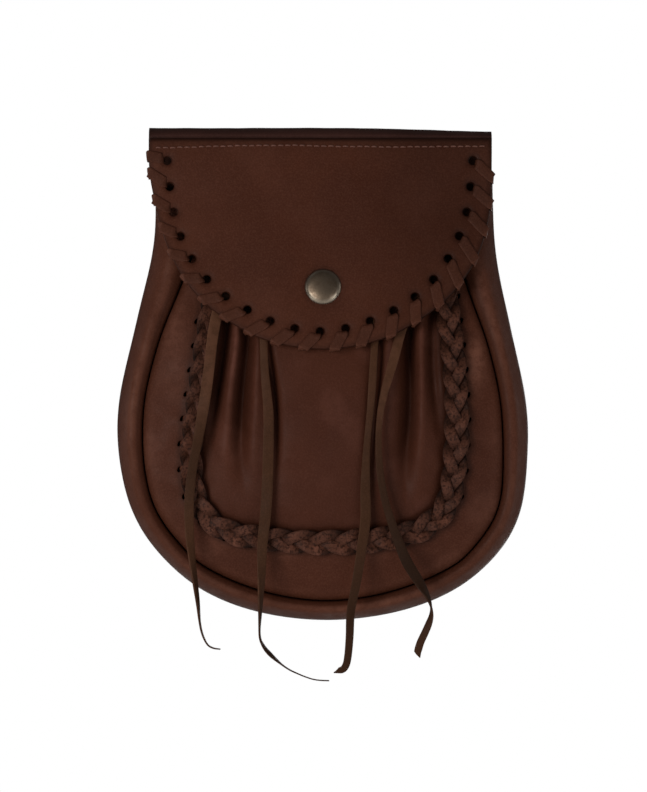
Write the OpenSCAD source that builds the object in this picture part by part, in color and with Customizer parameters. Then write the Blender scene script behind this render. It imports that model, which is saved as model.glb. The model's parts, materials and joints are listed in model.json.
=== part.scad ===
// Leather belt pouch with a laced flap, a pleated front and a braided U seam.
// X runs across the pouch, Y towards the wearer, Z up. The origin is the middle of the belt tunnel.
// A drop is a distance below the top edge, and a depth is a distance forward of the back panel.

/* [Pouch] */
// Height from the rolled top edge to the bottom of the gusset
pouch_h = 200; // [180:1:220]
// Thickness of the back panel, the frame panel and the gusset
hide_t = 2.2; // [1.6:0.1:2.8]
// Thickness of the softer hide of the pleated panel
soft_hide_t = 1.6; // [1.2:0.1:2]
// Drop of the front edge of the mouth
mouth_drop = 18; // [16:1:24]

/* [Flap] */
// Thickness of the flap
flap_t = 2.4; // [2:0.1:3]
// Gap between the front of the pouch and the back of the flap
flap_gap = 4.6; // [4.2:0.1:6]
// Number of lacing holes along the flap's edge
lace_holes = 21; // [15:2:25]
// Diameter of a lacing hole
lace_hole_d = 3; // [2.5:0.1:3.4]

/* [Lace] */
// Width of the flat lace
lace_w = 4; // [3:0.1:4.4]
// Thickness of the flat lace
lace_t = 1.2; // [1:0.1:1.4]
// Length of one full turn of the braid, three plaits long
braid_pitch = 31.5; // [28:0.5:36]
// Half of the sideways swing of a braid strand
braid_swing = 3.1; // [2.8:0.1:3.4]
// Width and thickness of a lace pulled tight in the braid, as a share of the loose lace
pulled_share = 0.8; // [0.75:0.01:0.85]

/* [Snap] */
// Diameter of the snap cap
cap_d = 15; // [12:0.5:17]
// Height of the cap's dome
cap_h = 2.6; // [2:0.1:3]
// Drop of the snap
snap_drop = 65.4; // [62:0.1:68]

/* [Belt tunnel] */
// Tallest belt that fits
belt_w = 44; // [38:1:46]
// Depth of the tunnel for the belt
belt_gap = 6; // [5:0.5:7]
// Width of one belt loop
loop_w = 28; // [22:1:34]
// Distance between the middles of the two loops
loop_pitch = 84; // [70:1:96]

/* [Hidden] */
$fn = 48;

hide = "saddlebrown";
lace = "sienna";
thread = "peru";
metal = "silver";

// Every outline was drawn for a pouch this tall, and scales with pouch_h
drawn_h = 200;
size_k = pouch_h / drawn_h;
fit_gap = 0.08;
top_z = 48;

// Back panel: its rear face is the front wall of the belt tunnel
back_rear_y = -belt_gap / 2;
back_front_y = back_rear_y - hide_t;
back_top_drop = 5;

// Outlines as [half width, drop] from the top edge to the bottom middle
silhouette_half = [
    [69.5, 0], [68.6, 30], [70, 52], [76, 80], [82.4, 110], [83, 132],
    [79, 155], [69, 172.5], [51.5, 187.5], [28, 196.7], [0, 200]
];
seam_half = [
    [47, mouth_drop], [50, 40], [58, 64], [67.5, 90], [72.8, 118], [70.7, 151],
    [58, 171.5], [43.5, 181.7], [22, 189.3], [0, 192]
];
flap_half = [[69.5, 4.5], [69, 22], [66, 40], [60.5, 55], [51, 68.5], [38, 79], [22, 87], [0, 90.5]];
// The punched row of lacing holes, as [x, drop]
hole_points = [
    [-63, 14], [-60.5, 34], [-55, 50], [-44, 65], [-28.5, 75.5], [-14, 81.5], [0.5, 83.3],
    [15, 80.5], [29.3, 74.4], [43, 64], [53, 49], [58.5, 33], [60.6, 14]
];
// The braid, as [x, drop] from its left end round the bottom to its right end
braid_points = [
    [-41, mouth_drop + 2], [-43, 50], [-46.5, 82], [-50, 107], [-53, 130], [-52.5, 149], [-45, 161],
    [-29, 166], [0, 168], [29, 165.5], [44.5, 158], [51, 146], [54, 125], [53.5, 102], [51, 80], [47, 50],
    [43, mouth_drop + 2]
];
// How far the pouch leans to the right, as [drop, sway]
sway = [[0, -1.1], [18, -1], [32, 0], [52, 0.6], [80, 0], [130, 0], [170, 2.2], [200, 1.2]];
// Depth of the front seam, and how far the middle of the front stands proud of it, as [drop, value]
seam_depth = [[18, 12], [40, 14], [64, 17], [90, 21], [118, 24], [151, 24], [171, 22.5], [192, 21]];
front_rise = [[18, 3], [40, 5.5], [65, 8], [95, 10], [125, 10], [155, 9], [178, 5], [192, 0]];
// Each pleat valley: [[x, drop] at its top, [x, drop] where it ends, depth, half width]
valleys = [
    [[-36.5, 18], [-46, 130], 4, 3], [[-27, 18], [-34.5, 140], 5, 3.8], [[-24, 18], [-18, 130], 3, 2.3],
    [[23.5, 18], [18.5, 138], 3.5, 2.3], [[34.5, 18], [33.5, 152], 5, 4], [[43, 18], [48, 130], 3, 3]
];

// Share of its length over which a valley deepens
gather_end = 0.4;

// Centrelines of the four hanging tails, as [x, y, z]
tail_routes = [
    [[-37, -28.8, -15], [-39, -33.4, -20.5], [-42.4, -34.9, -27], [-44.4, -36.9, -37],
     [-45.8, -38.9, -49], [-47.5, -40.2, -62], [-50.2, -40.7, -78], [-52.8, -40.6, -92],
     [-53.9, -40.3, -106], [-53.4, -39.9, -120], [-51.6, -39.8, -135], [-50.4, -39.6, -144],
     [-49.6, -39.5, -152], [-48.5, -39.5, -157], [-46.6, -39.4, -160.9], [-44.4, -39.3, -162.4],
     [-41.3, -39.3, -163]],
    [[-23, -31, -15], [-23.6, -33.4, -26], [-24, -36.2, -37], [-23.4, -38.8, -52], [-22, -39.8, -67],
     [-22, -40.3, -80], [-22.3, -40.5, -94], [-23, -40.6, -107], [-24.4, -40.7, -121], [-24.8, -40.7, -135],
     [-25.3, -40.6, -148], [-25.5, -40.5, -157], [-24.3, -40.5, -161], [-21.5, -40.4, -164.7],
     [-16, -40.3, -169.5], [-11.4, -40.2, -172.2], [-4, -40, -175], [2.5, -40, -175.6]],
    [[23, -31, -15], [22, -33.4, -26], [21, -36.2, -37], [20.2, -38.8, -50], [19.3, -39.8, -64],
     [17.6, -40.3, -82], [17, -40.5, -97], [17.1, -40.6, -110], [15.6, -40.7, -122],
     [13.5, -40.7, -135.5], [11.2, -40.6, -147.5], [10.7, -40.5, -158], [10, -40.4, -166],
     [9.1, -40.2, -169.6], [7.4, -40.1, -171.3], [4.3, -40, -171.5]],
    [[41.5, -28.1, -15], [38, -31, -22], [32.2, -34.6, -33], [28.3, -38.2, -47], [24.6, -41.2, -60],
     [22.8, -42.4, -70], [22.3, -42.6, -80], [23, -42.4, -92], [25, -42, -103.2], [27.4, -41.8, -111.3],
     [30.3, -41.6, -119.5], [33.7, -41.5, -127.6], [38.6, -41.3, -135.7], [41.5, -41.2, -140.5],
     [43.3, -41.1, -145], [43.6, -41, -148.8], [42.6, -41, -152.5], [40.9, -41, -156.5], [39, -41, -160.7],
     [37.6, -41, -166]]
];
// How far each tail twists about itself in degrees, and the shares of its length between which it does
tail_twists = [86, 85, 20, 180];
tail_turns = [[0.6, 0.9], [0.62, 0.78], [0.6, 0.9], [0.75, 1]];
tail_rings = 30;
tail_sides = 8;

// Flap plane: its rear face starts at the drop of the flap's top edge and leans forward going down
flap_top_drop = 4.5;
flap_lean = 0.222;
flap_tilt = atan(flap_lean);
// How far the front panel's top edge stands in front of the back panel
mouth_depth = 11.6;
flap_y = back_front_y - mouth_depth - flap_gap;
flap_z = top_z - flap_top_drop;

// Rolled strip that joins the back panel to the flap over the mouth
strip_t = 1.6;
strip_w = 139;
strip_x = sway[0][1];
strip_base_z = flap_z;
strip_rear_y = back_rear_y + strip_t;
roof_middle_y = (strip_rear_y + flap_y) / 2;
roof_reach = (strip_rear_y - flap_y) / 2;
roof_rise = top_z - strip_base_z;

// Snap: place of the stud on the flap's normal, and the radius of the stud's and the post's base
stud_base = -(flap_gap - 0.15);
stud_base_r = 5;
// Radius of the hole that the cap's post goes through
post_hole_r = 2;

// Stitches: thread diameter, length of one stitch, pitch, and distances from the folds to the rows
thread_d = 0.7;
stitch_l = 2.4;
stitch_pitch = 3.4;
rear_row = 3.2;
flap_row = 4;
// Distance from each end of the strip to its row
row_margin = 2.5;

function hung(p) = [(p[0] + profile(sway, p[1])) * size_k, top_z - p[1] * size_k];
function place(p, depth) = let (q = hung(p)) [q[0], back_front_y - depth, q[1]];
function unit(v) = v / norm(v);

function bend(a, b, c, d, t) =
    0.5 * (2 * b + (c - a) * t + (2 * a - 5 * b + 4 * c - d) * t * t + (3 * b - a - 3 * c + d) * t * t * t);
function spline(p, n) = concat(
    [for (i = [0 : len(p) - 2]) for (k = [0 : n - 1])
        bend(p[max(i - 1, 0)], p[i], p[i + 1], p[min(i + 2, len(p) - 1)], k / n)],
    [p[len(p) - 1]]
);
function mirrored(half) = concat(
    [for (p = half) [-p[0], p[1]]],
    [for (i = [len(half) - 2 : -1 : 0]) half[i]]
);
function run(p, i = 0, sum = 0) =
    i >= len(p) - 1 ? [sum] : concat([sum], run(p, i + 1, sum + norm(p[i + 1] - p[i])));
// The same line again with n + 1 points, evenly spaced
function spaced(p, n) =
    let (along = run(p), total = along[len(along) - 1])
    [for (k = [0 : n]) [for (axis = [0 : len(p[0]) - 1])
        lookup(total * k / n, [for (i = [0 : len(p) - 1]) [along[i], p[i][axis]]])]];
// Point of a line at a place between its numbered points
function lookup_point(p, k) =
    let (i = min(len(p) - 2, max(0, floor(k)))) p[i] + (p[i + 1] - p[i]) * (k - i);
function interval(table, x, i = 0) =
    (i >= len(table) - 2 || x < table[i + 1][0]) ? i : interval(table, x, i + 1);
function slope(table, i) =
    let (a = table[max(i - 1, 0)], b = table[min(i + 1, len(table) - 1)]) (b[1] - a[1]) / (b[0] - a[0]);
// Smooth value of a [key, value] table
function profile(table, x) =
    let (i = interval(table, x), a = table[i], b = table[i + 1], h = b[0] - a[0],
         t = min(1, max(0, (x - a[0]) / h)))
    (2 * t ^ 3 - 3 * t ^ 2 + 1) * a[1] + (t ^ 3 - 2 * t ^ 2 + t) * h * slope(table, i)
    + (3 * t ^ 2 - 2 * t ^ 3) * b[1] + (t ^ 3 - t ^ 2) * h * slope(table, i + 1);

outline_steps = 6;
rim_stations = 48;
silhouette_line = spline(mirrored(silhouette_half), outline_steps);
seam_line = spline(mirrored(seam_half), outline_steps);
braid_line = spline(braid_points, outline_steps);
seam_width = [for (p = spline(seam_half, outline_steps)) [p[1], p[0]]];

// Depth of the smooth front at [x, drop]
function front_depth(x, drop) =
    let (w = max(lookup(drop, seam_width), 1), q = min(1, abs(x) / w))
    profile(seam_depth, drop) + profile(front_rise, drop) * (1 - q * q);
function valley_depth(v, x, drop) =
    let (t = (drop - v[0][1]) / (v[1][1] - v[0][1]), middle = v[0][0] + (v[1][0] - v[0][0]) * t,
         off = (x - middle) / v[3])
    t > 1 ? 0 : v[2] * (0.4 + 0.6 * sin(90 * min(1, t / gather_end))) * (1 - t ^ 4) * exp(-off * off);
function pleats(x, drop) = -[for (v = valleys) valley_depth(v, x, drop)] * [for (v = valleys) 1];

// Solid between a list of rings that all have the same number of points
module skin(rings) {
    n = len(rings[0]);
    m = len(rings);
    polyhedron(
        points = [for (ring = rings) each ring],
        faces = concat(
            [[for (j = [n - 1 : -1 : 0]) j]],
            [for (i = [0 : m - 2]) for (j = [0 : n - 1])
                let (a = i * n + j, b = i * n + (j + 1) % n, c = b + n, d = a + n)
                each [[a, b, c], [a, c, d]]],
            [[for (j = [0 : n - 1]) (m - 1) * n + j]]
        ),
        convexity = 10
    );
}

function along(line, i) = unit(line[min(i + 1, len(line) - 1)] - line[max(i - 1, 0)]);
// Flat lace along a line; the hint at each point is the direction that its width follows
function lace_rings(line, hints, w, t, sides) =
    [for (i = [0 : len(line) - 1])
        let (ahead = along(line, i), across = unit(hints[i] - (hints[i] * ahead) * ahead),
             up = cross(ahead, across), half = (is_list(w) ? w[i] : w) / 2)
        [for (k = [0 : sides - 1])
            line[i] + across * half * cos(360 * k / sides) + up * t / 2 * sin(360 * k / sides)]];

// Stands a drawing up in the XZ plane, its extrusion running forward from y
module upright(y) {
    translate([0, y, 0]) rotate([90, 0, 0]) children();
}
// Extrudes a [y, z] drawing along X, its middle at x
module along_x(x, length) {
    translate([x - length / 2, 0, 0]) rotate([90, 0, 90]) linear_extrude(length) children();
}
// The flap's own frame: X across, Y up the flap, Z out of its front
module on_flap() {
    translate([0, flap_y, flap_z]) rotate([90 - flap_tilt, 0, 0]) children();
}
function flap_point(p) = [p[0] * size_k, -(p[1] * size_k - flap_top_drop) / cos(flap_tilt)];

// Row of short thread stitches along X, lying on a face
module stitch_row(length) {
    count = floor(length / stitch_pitch);
    for (i = [0 : count - 1])
        translate([(i - (count - 1) / 2) * stitch_pitch - stitch_l / 2, 0, 0])
            rotate([0, 90, 0]) cylinder(d = thread_d, h = stitch_l, $fn = 16);
}

module back_panel() {
    inset = 1.5;
    line = spaced(silhouette_line, rim_stations);
    outline = [for (i = [0 : rim_stations])
        let (ahead = along(line, i)) line[i] + inset * [ahead[1], -ahead[0]]];
    color(hide) upright(back_rear_y) linear_extrude(hide_t)
        polygon([for (p = outline) hung([p[0], max(p[1], back_top_drop)])]);
}

// Side and bottom strip: it leaves the front seam, bulges past both panels and comes back to the back panel
module gusset() {
    section = [[0, 1, -0.4], [0.22, 1, 1.9], [0.55, 1, 1.5], [0.85, 0.82, 0], [1, 0.55, 0], [0.97, 0.25, 0],
               [0.86, 0, 0.1]];
    outer = spaced(silhouette_line, rim_stations);
    inner = spaced(seam_line, rim_stations);
    function station(i) = min(rim_stations, max(0, i));
    function outside(i) =
        let (from = inner[i], to = outer[i], depth = profile(seam_depth, from[1]))
        [for (s = section) place(from + (to - from) * s[0], depth * s[1] + s[2])];
    function inside(line, i) =
        let (right = unit([(outer[i] - inner[i])[0], 0, -(outer[i] - inner[i])[1]]))
        [for (k = [len(line) - 1 : -1 : 0])
            let (ahead = along(line, k), out = unit([0, -1, 0] * (ahead * right) + right * ahead[1]))
            line[k] - out * hide_t];
    rings = [for (i = [2 : rim_stations - 2]) let (line = outside(i)) concat(line, inside(line, i))];
    color(hide) translate([0, -fit_gap, 0]) skin(rings);
}

// Flat leather between the seam and the braid
module front_frame() {
    across = 5;
    edge_gap = 0.6;
    outer = spaced(seam_line, rim_stations);
    inner = spaced(braid_line, rim_stations);
    function row(i, back) =
        let (from = outer[i], to = inner[i], start = from + unit(to - from) * edge_gap)
        [for (k = [0 : across])
            let (p = start + (to - start) * k / across) place(p, front_depth(p[0], p[1]) - back)];
    function flipped(list) = [for (i = [len(list) - 1 : -1 : 0]) list[i]];
    color(hide) skin([for (i = [0 : rim_stations]) concat(flipped(row(i, 0)), row(i, hide_t))]);
}

// Gathered panel behind the frame's window: a patch between four sides, the lower three under the frame
module pleated_front() {
    rows = 24;
    columns = 44;
    tuck = 3;
    under_frame = 0.7;
    steps = 100;
    corner = 36;
    rise_over = 6;
    line = spaced(braid_line, steps);
    edge = [for (i = [0 : steps]) let (ahead = along(line, i)) line[i] + tuck * [-ahead[1], ahead[0]]];
    across = norm(edge[steps - corner] - edge[corner]);
    down = norm(edge[corner] - edge[0]);
    function at(k) = lookup_point(edge, k);
    function patch(u, v) =
        (1 - u) * at(corner * v) + u * at(steps - corner * v)
        + (1 - v) * ((1 - u) * edge[0] + u * edge[steps]) + v * at(corner + (steps - 2 * corner) * u)
        - (1 - u) * (1 - v) * edge[0] - u * (1 - v) * edge[steps]
        - (1 - u) * v * edge[corner] - u * v * edge[steps - corner];
    function front(i) = [for (k = [0 : columns])
        let (u = k / columns, v = i / rows, p = patch(u, v),
             inside = min(u * across, (1 - u) * across, (1 - v) * down) - tuck - 1,
             raised = (hide_t - under_frame) * min(1, max(0, inside / rise_over)))
        place(p, front_depth(p[0], p[1]) - hide_t - under_frame + pleats(p[0], p[1]) + raised)];
    function behind(i) = let (line = front(i)) [for (k = [columns : -1 : 0]) line[k] + [0, soft_hide_t, 0]];
    color(hide) skin([for (i = [0 : rows]) concat(front(i), behind(i))]);
}

// One strand of the three-strand braid that covers the window's edge
module braid_strand(number) {
    rings_per_pitch = 13;
    lift = 2.4;
    weave = 1.34;
    steps = 200;
    line = spaced(braid_line, steps);
    total = run(line)[steps];
    count = round(total / braid_pitch * rings_per_pitch);
    path = [for (i = [0 : count])
        let (k = i / count * steps, ahead = along(line, floor(k)),
             turn = 360 * (i / rings_per_pitch + number / 3),
             q = lookup_point(line, k) + [-ahead[1], ahead[0]] * braid_swing * sin(turn))
        place(q, front_depth(q[0], q[1]) + lift + weave * sin(2 * turn))];
    hints = [for (i = [0 : count]) cross(along(path, i), [0, 1, 0])];
    color(lace) skin(lace_rings(path, hints, lace_w * pulled_share, lace_t * pulled_share, 6));
}

// Short slanted stitches that tie the braid down through the frame, outside its outer edge
module braid_anchor_lace() {
    count = 36;
    first = 4;
    out = 7.2;
    slant = 1.6;
    half_l = 1.6;
    stitch_w = 1.8;
    stitch_t = 0.9;
    lift = 0.7;
    line = spaced(braid_line, count);
    color(lace) for (i = [first : count - first]) {
        ahead = along(line, i);
        side = [-ahead[1], ahead[0]];
        from = line[i] + side * out - ahead * half_l;
        to = line[i] + side * (out - slant) + ahead * half_l;
        ends = [for (p = [from, to]) place(p, front_depth(p[0], p[1]) + lift)];
        hints = [for (k = [0, 1]) cross(ends[1] - ends[0], [0, 1, 0])];
        skin(lace_rings(ends, hints, stitch_w, stitch_t, 6));
    }
}

// Thong wrapped across one bundle of pleats, whose ends hang as two tails
module tie(from_x, to_x) {
    steps = 6;
    drop = 64;
    lift = lace_t / 2 + 0.3;
    path = [for (i = [0 : steps])
        let (x = from_x + (to_x - from_x) * i / steps) place([x, drop], front_depth(x, drop) + lift)];
    color(lace) skin(lace_rings(path, [for (p = path) [0, 0, 1]], lace_w, lace_t, 8));
}

module tail(number) {
    line = spaced(spline(tail_routes[number], outline_steps), tail_rings - 1);
    turns = tail_turns[number];
    function twist(i) =
        tail_twists[number] * profile([[turns[0], 0], [turns[1], 1]], i / (tail_rings - 1));
    hints = [for (i = [0 : tail_rings - 1])
        let (flat = cross(along(line, i), [0, 1, 0]))
        flat * cos(twist(i)) + [0, norm(flat), 0] * sin(twist(i))];
    color(lace) skin(lace_rings(line, hints, lace_w, lace_t, tail_sides));
}

// The snap's own frame: its axis along the flap's normal, zero at the flap's rear face
module on_snap() {
    on_flap() translate([0, flap_point([0, snap_drop / size_k])[1], 0]) children();
}
module snap_cap() {
    rim_t = 0.5;
    post_r = 1.9;
    dome_r = cap_d * 1.6;
    color(metal) on_snap() {
        translate([0, 0, flap_t + fit_gap]) rotate_extrude() {
            square([cap_d / 2, rim_t]);
            intersection() {
                square([cap_d / 2, cap_h]);
                translate([0, cap_h - dome_r]) circle(r = dome_r, $fn = 96);
                dome_profile();
            }
        }
        translate([0, 0, -1]) cylinder(r = post_r, h = flap_t + fit_gap + 1.2);
    }
}
// Rounded shoulder of the cap's dome, drawn as a quarter round on a flat disc
module dome_profile() {
    edge_t = 0.4;
    shoulder = cap_h - edge_t;
    square([cap_d / 2 - shoulder, cap_h]);
    translate([cap_d / 2 - shoulder, edge_t]) circle(r = shoulder);
}
module snap_socket() {
    socket_h = 2.4;
    flange_r = 5.4;
    flange_t = 1;
    barrel_r = 4.2;
    bore_r = 2.6;
    color(metal) on_snap() translate([0, 0, -socket_h]) difference() {
        union() {
            cylinder(r = flange_r, h = flange_t);
            cylinder(r = barrel_r, h = socket_h - fit_gap);
        }
        translate([0, 0, -1]) cylinder(r = bore_r, h = socket_h + 2);
    }
}
module snap_stud() {
    base_t = 0.7;
    neck_r = 1.8;
    neck_h = 2.6;
    head_r = 2.1;
    head_z = 2;
    color(metal) on_snap() translate([0, 0, stud_base]) {
        cylinder(r = stud_base_r, h = base_t);
        cylinder(r = neck_r, h = neck_h);
        translate([0, 0, head_z]) cylinder(r = head_r, h = 1);
    }
}
module snap_post() {
    base_t = 0.8;
    post_r = 1.5;
    below = 1.6;
    color(metal) on_snap() translate([0, 0, stud_base - soft_hide_t - below]) {
        cylinder(r = stud_base_r, h = base_t);
        cylinder(r = post_r, h = soft_hide_t + below - 0.1);
    }
}

// Belt loop: two sewn feet and a strap that stands off the back panel
module belt_loop(x) {
    foot_h = 10;
    step_z = belt_w / 2 + 1;
    foot_z = belt_w / 2 + 5;
    out_y = belt_gap / 2;
    upper = [[back_rear_y, foot_z + foot_h - 3], [back_rear_y + hide_t, foot_z + foot_h - 3],
             [back_rear_y + hide_t, foot_z - 0.6], [out_y + hide_t - 1.2, step_z - 0.4],
             [out_y + hide_t, step_z - 1.8]];
    lower = [for (i = [len(upper) - 1 : -1 : 0]) [upper[i][0], -upper[i][1]]];
    under = [[back_rear_y, -(foot_z - 1.6)], [out_y - 0.6, -(step_z - 2.2)], [out_y, -(step_z - 3)],
             [out_y, step_z - 3], [out_y - 0.6, step_z - 2.2], [back_rear_y, foot_z - 1.6]];
    color(hide) along_x(x, loop_w) polygon([for (p = concat(upper, lower, under)) p + [fit_gap, 0]]);
}
module loop_stitching() {
    foot_z = belt_w / 2 + 8.6;
    row_gap = 3;
    side_margin = 2.5;
    color(thread) for (x = [-1, 1], side = [-1, 1], row = [-1, 1])
        translate([x * loop_pitch / 2, back_rear_y + hide_t + thread_d / 2 + 2 * fit_gap,
            side * (foot_z + row * row_gap / 2)])
            stitch_row(loop_w - 2 * side_margin);
}

module strip_rear_tab() {
    tab_h = 3.9;
    below_fold = 1.1;
    color(hide) translate([strip_x - strip_w / 2, back_rear_y + fit_gap, strip_base_z - below_fold - tab_h])
        cube([strip_w, strip_t, tab_h]);
}
// Roof over the mouth, part of an ellipse from the rear fold to the front fold
module strip_roof() {
    first = 8;
    last = 138;
    step = 10;
    function arc(a, b) =
        [for (t = [first : step : last]) [roof_middle_y + a * cos(t), strip_base_z + b * sin(t)]];
    inner = arc(roof_reach - strip_t, roof_rise - strip_t);
    color(hide) along_x(strip_x, strip_w)
        polygon(concat(arc(roof_reach, roof_rise), [for (i = [len(inner) - 1 : -1 : 0]) inner[i]]));
}
module strip_front_tab() {
    tab_h = 5.4;
    below_fold = 1;
    color(hide) on_flap() translate([strip_x - strip_w / 2, -below_fold - tab_h, -strip_t - fit_gap])
        cube([strip_w, tab_h, strip_t]);
}
module strip_stitching() {
    row_y = back_rear_y + strip_t + thread_d / 2 + 2 * fit_gap;
    color(thread) translate([strip_x, row_y, strip_base_z - rear_row]) stitch_row(strip_w - 2 * row_margin);
}

module flap() {
    holes = spaced(spline(hole_points, outline_steps), lace_holes - 1);
    outline = spline(mirrored(flap_half), outline_steps);
    color(hide) on_flap() linear_extrude(flap_t) difference() {
        polygon([for (p = outline) flap_point([p[0] + profile(sway, p[1]), p[1]])]);
        for (p = holes) translate(flap_point(p)) circle(d = lace_hole_d);
        translate(flap_point([0, snap_drop / size_k])) circle(r = post_hole_r);
    }
}
// Whip stitch: up through a hole, slanted back over the edge, and behind to the hole before
module flap_lace() {
    holes = [for (p = spaced(spline(hole_points, outline_steps), lace_holes - 1)) flap_point(p)];
    turn_r = flap_t / 2 + lace_t / 2 + 0.15;
    margin = 5.9;
    slant = 6;
    first_slant = 2;
    reach_behind = 3;
    wide = lace_w * pulled_share;
    pinched = lace_hole_d * 0.75;
    rise = 0.4;
    settle = 1.6;
    function at(p, h) = [p[0], p[1], flap_t / 2 + h];
    color(lace) on_flap() for (i = [0 : lace_holes - 1]) {
        ahead = along(holes, i);
        out = [ahead[1], -ahead[0]];
        hole = holes[i];
        rim = hole + out * margin - ahead * (i == 0 ? first_slant : slant);
        over = unit(rim - hole);
        before = i == 0 ? hole + out * reach_behind : hole + out - ahead * (slant + reach_behind);
        line = concat(
            [at(hole, 0), at(hole + over * rise, turn_r - rise), at(hole + over * settle, turn_r)],
            [for (a = [90 : -30 : -90]) at(rim + over * turn_r * cos(a), turn_r * sin(a))],
            [at(before, -turn_r)]
        );
        flats = [for (p = line) [ahead[0], ahead[1], 0]];
        widths = [for (k = [0 : len(line) - 1]) k == 0 ? pinched : wide];
        skin(lace_rings(line, flats, widths, lace_t, 6));
    }
}
module flap_stitching() {
    color(thread) on_flap() translate([strip_x, -flap_row, flap_t + thread_d / 2 + fit_gap])
        stitch_row(strip_w - 2 * row_margin);
}

back_panel();
gusset();
front_frame();
pleated_front();
braid_strand(0);  // braid_strand_1
braid_strand(1);  // braid_strand_2
braid_strand(2);  // braid_strand_3
braid_anchor_lace();
tie(-38, -22);  // left_tie
tie(22, 42);  // right_tie
tail(0);  // tail_1
tail(1);  // tail_2
tail(2);  // tail_3
tail(3);  // tail_4
snap_stud();
snap_post();
belt_loop(-loop_pitch / 2);  // belt_loop_left
belt_loop(loop_pitch / 2);  // belt_loop_right
loop_stitching();
strip_rear_tab();
strip_roof();
strip_front_tab();
strip_stitching();
flap();
flap_lace();
flap_stitching();
snap_cap();
snap_socket();
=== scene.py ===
"""Looks of the leather belt pouch: shells of cut leather, a braid, laces, thongs, thread and a snap.

Shapes are worked out in millimetres in the frame's axes (X across, Y towards the wearer, Z up) and become
metres when a mesh is made. A drop is a distance below the top edge, and a depth is a distance forward of the
back panel, as in the CAD source.
"""

import json
import math

import bmesh
import bpy
import numpy as np
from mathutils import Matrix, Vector
from mathutils.geometry import delaunay_2d_cdt
from mathutils.kdtree import KDTree


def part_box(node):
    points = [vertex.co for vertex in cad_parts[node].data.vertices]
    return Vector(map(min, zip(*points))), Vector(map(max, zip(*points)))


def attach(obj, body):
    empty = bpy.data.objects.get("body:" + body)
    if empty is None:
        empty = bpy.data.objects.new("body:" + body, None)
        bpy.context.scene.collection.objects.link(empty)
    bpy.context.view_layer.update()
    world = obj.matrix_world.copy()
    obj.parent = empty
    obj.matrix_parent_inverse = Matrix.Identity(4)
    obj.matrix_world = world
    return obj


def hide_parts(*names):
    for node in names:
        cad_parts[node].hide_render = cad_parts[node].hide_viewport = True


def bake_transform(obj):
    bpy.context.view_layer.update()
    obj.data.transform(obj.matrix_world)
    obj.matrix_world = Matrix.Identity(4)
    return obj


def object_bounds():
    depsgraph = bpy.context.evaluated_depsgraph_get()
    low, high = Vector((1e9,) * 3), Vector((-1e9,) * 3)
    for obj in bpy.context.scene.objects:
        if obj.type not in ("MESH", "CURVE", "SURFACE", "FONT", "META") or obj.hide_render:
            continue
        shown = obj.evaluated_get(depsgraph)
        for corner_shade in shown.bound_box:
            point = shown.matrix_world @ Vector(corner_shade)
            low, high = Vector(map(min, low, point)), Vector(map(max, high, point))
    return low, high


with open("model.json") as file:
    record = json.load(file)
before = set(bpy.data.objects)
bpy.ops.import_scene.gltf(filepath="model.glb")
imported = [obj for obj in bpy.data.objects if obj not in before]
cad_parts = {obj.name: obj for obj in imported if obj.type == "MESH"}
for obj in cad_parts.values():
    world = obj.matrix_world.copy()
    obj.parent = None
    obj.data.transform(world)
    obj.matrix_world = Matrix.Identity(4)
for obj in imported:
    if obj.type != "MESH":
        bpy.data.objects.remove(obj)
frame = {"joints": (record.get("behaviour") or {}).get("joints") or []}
cad_bounds = [list(corner_shade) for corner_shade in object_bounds()]

MM = 0.001
REARWARD = (0.0, 1.0, 0.0)


# Places taken from the frame, in mm

def box_mm(node):
    low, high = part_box(node)
    return np.array(low) / MM, np.array(high) / MM


def fold_line(name):
    joint = next(j for j in frame["joints"] if j["name"] == name)
    return np.array(joint["pos_m"]) / MM


TOP_Z = box_mm("strip_roof")[1][2]
BACK_FRONT_Y = box_mm("back_panel")[0][1]
BACK_REAR_Y = box_mm("back_panel")[1][1]
LOWEST_Z = cad_bounds[0][2] / MM
REAR_FOLD = fold_line("strip_fold")
FRONT_FOLD = fold_line("flap_fold")
STRIP_LEFT, STRIP_RIGHT = box_mm("strip_roof")[0][0], box_mm("strip_roof")[1][0]
LOOP_LOW, LOOP_HIGH = box_mm("belt_loop_right")
LOOP_X = (LOOP_LOW[0] + LOOP_HIGH[0]) / 2
LOOP_W = LOOP_HIGH[0] - LOOP_LOW[0]

# Sizes of the leather, laces and thread
HIDE_T = 2.2
SOFT_T = 1.6
FLAP_T = 2.4
STRIP_T = 1.6
LACE_W = 4.0
LACE_T = 1.2
THREAD_D = 0.7
HOLE_D = 3.3
SNAP_DROP = 65.4
MOUTH_DROP = 18
FLAP_TOP_DROP = 4.5
FLAP_ROW_DROP = 4.1
FLAP_TILT = math.atan(0.222)

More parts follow.
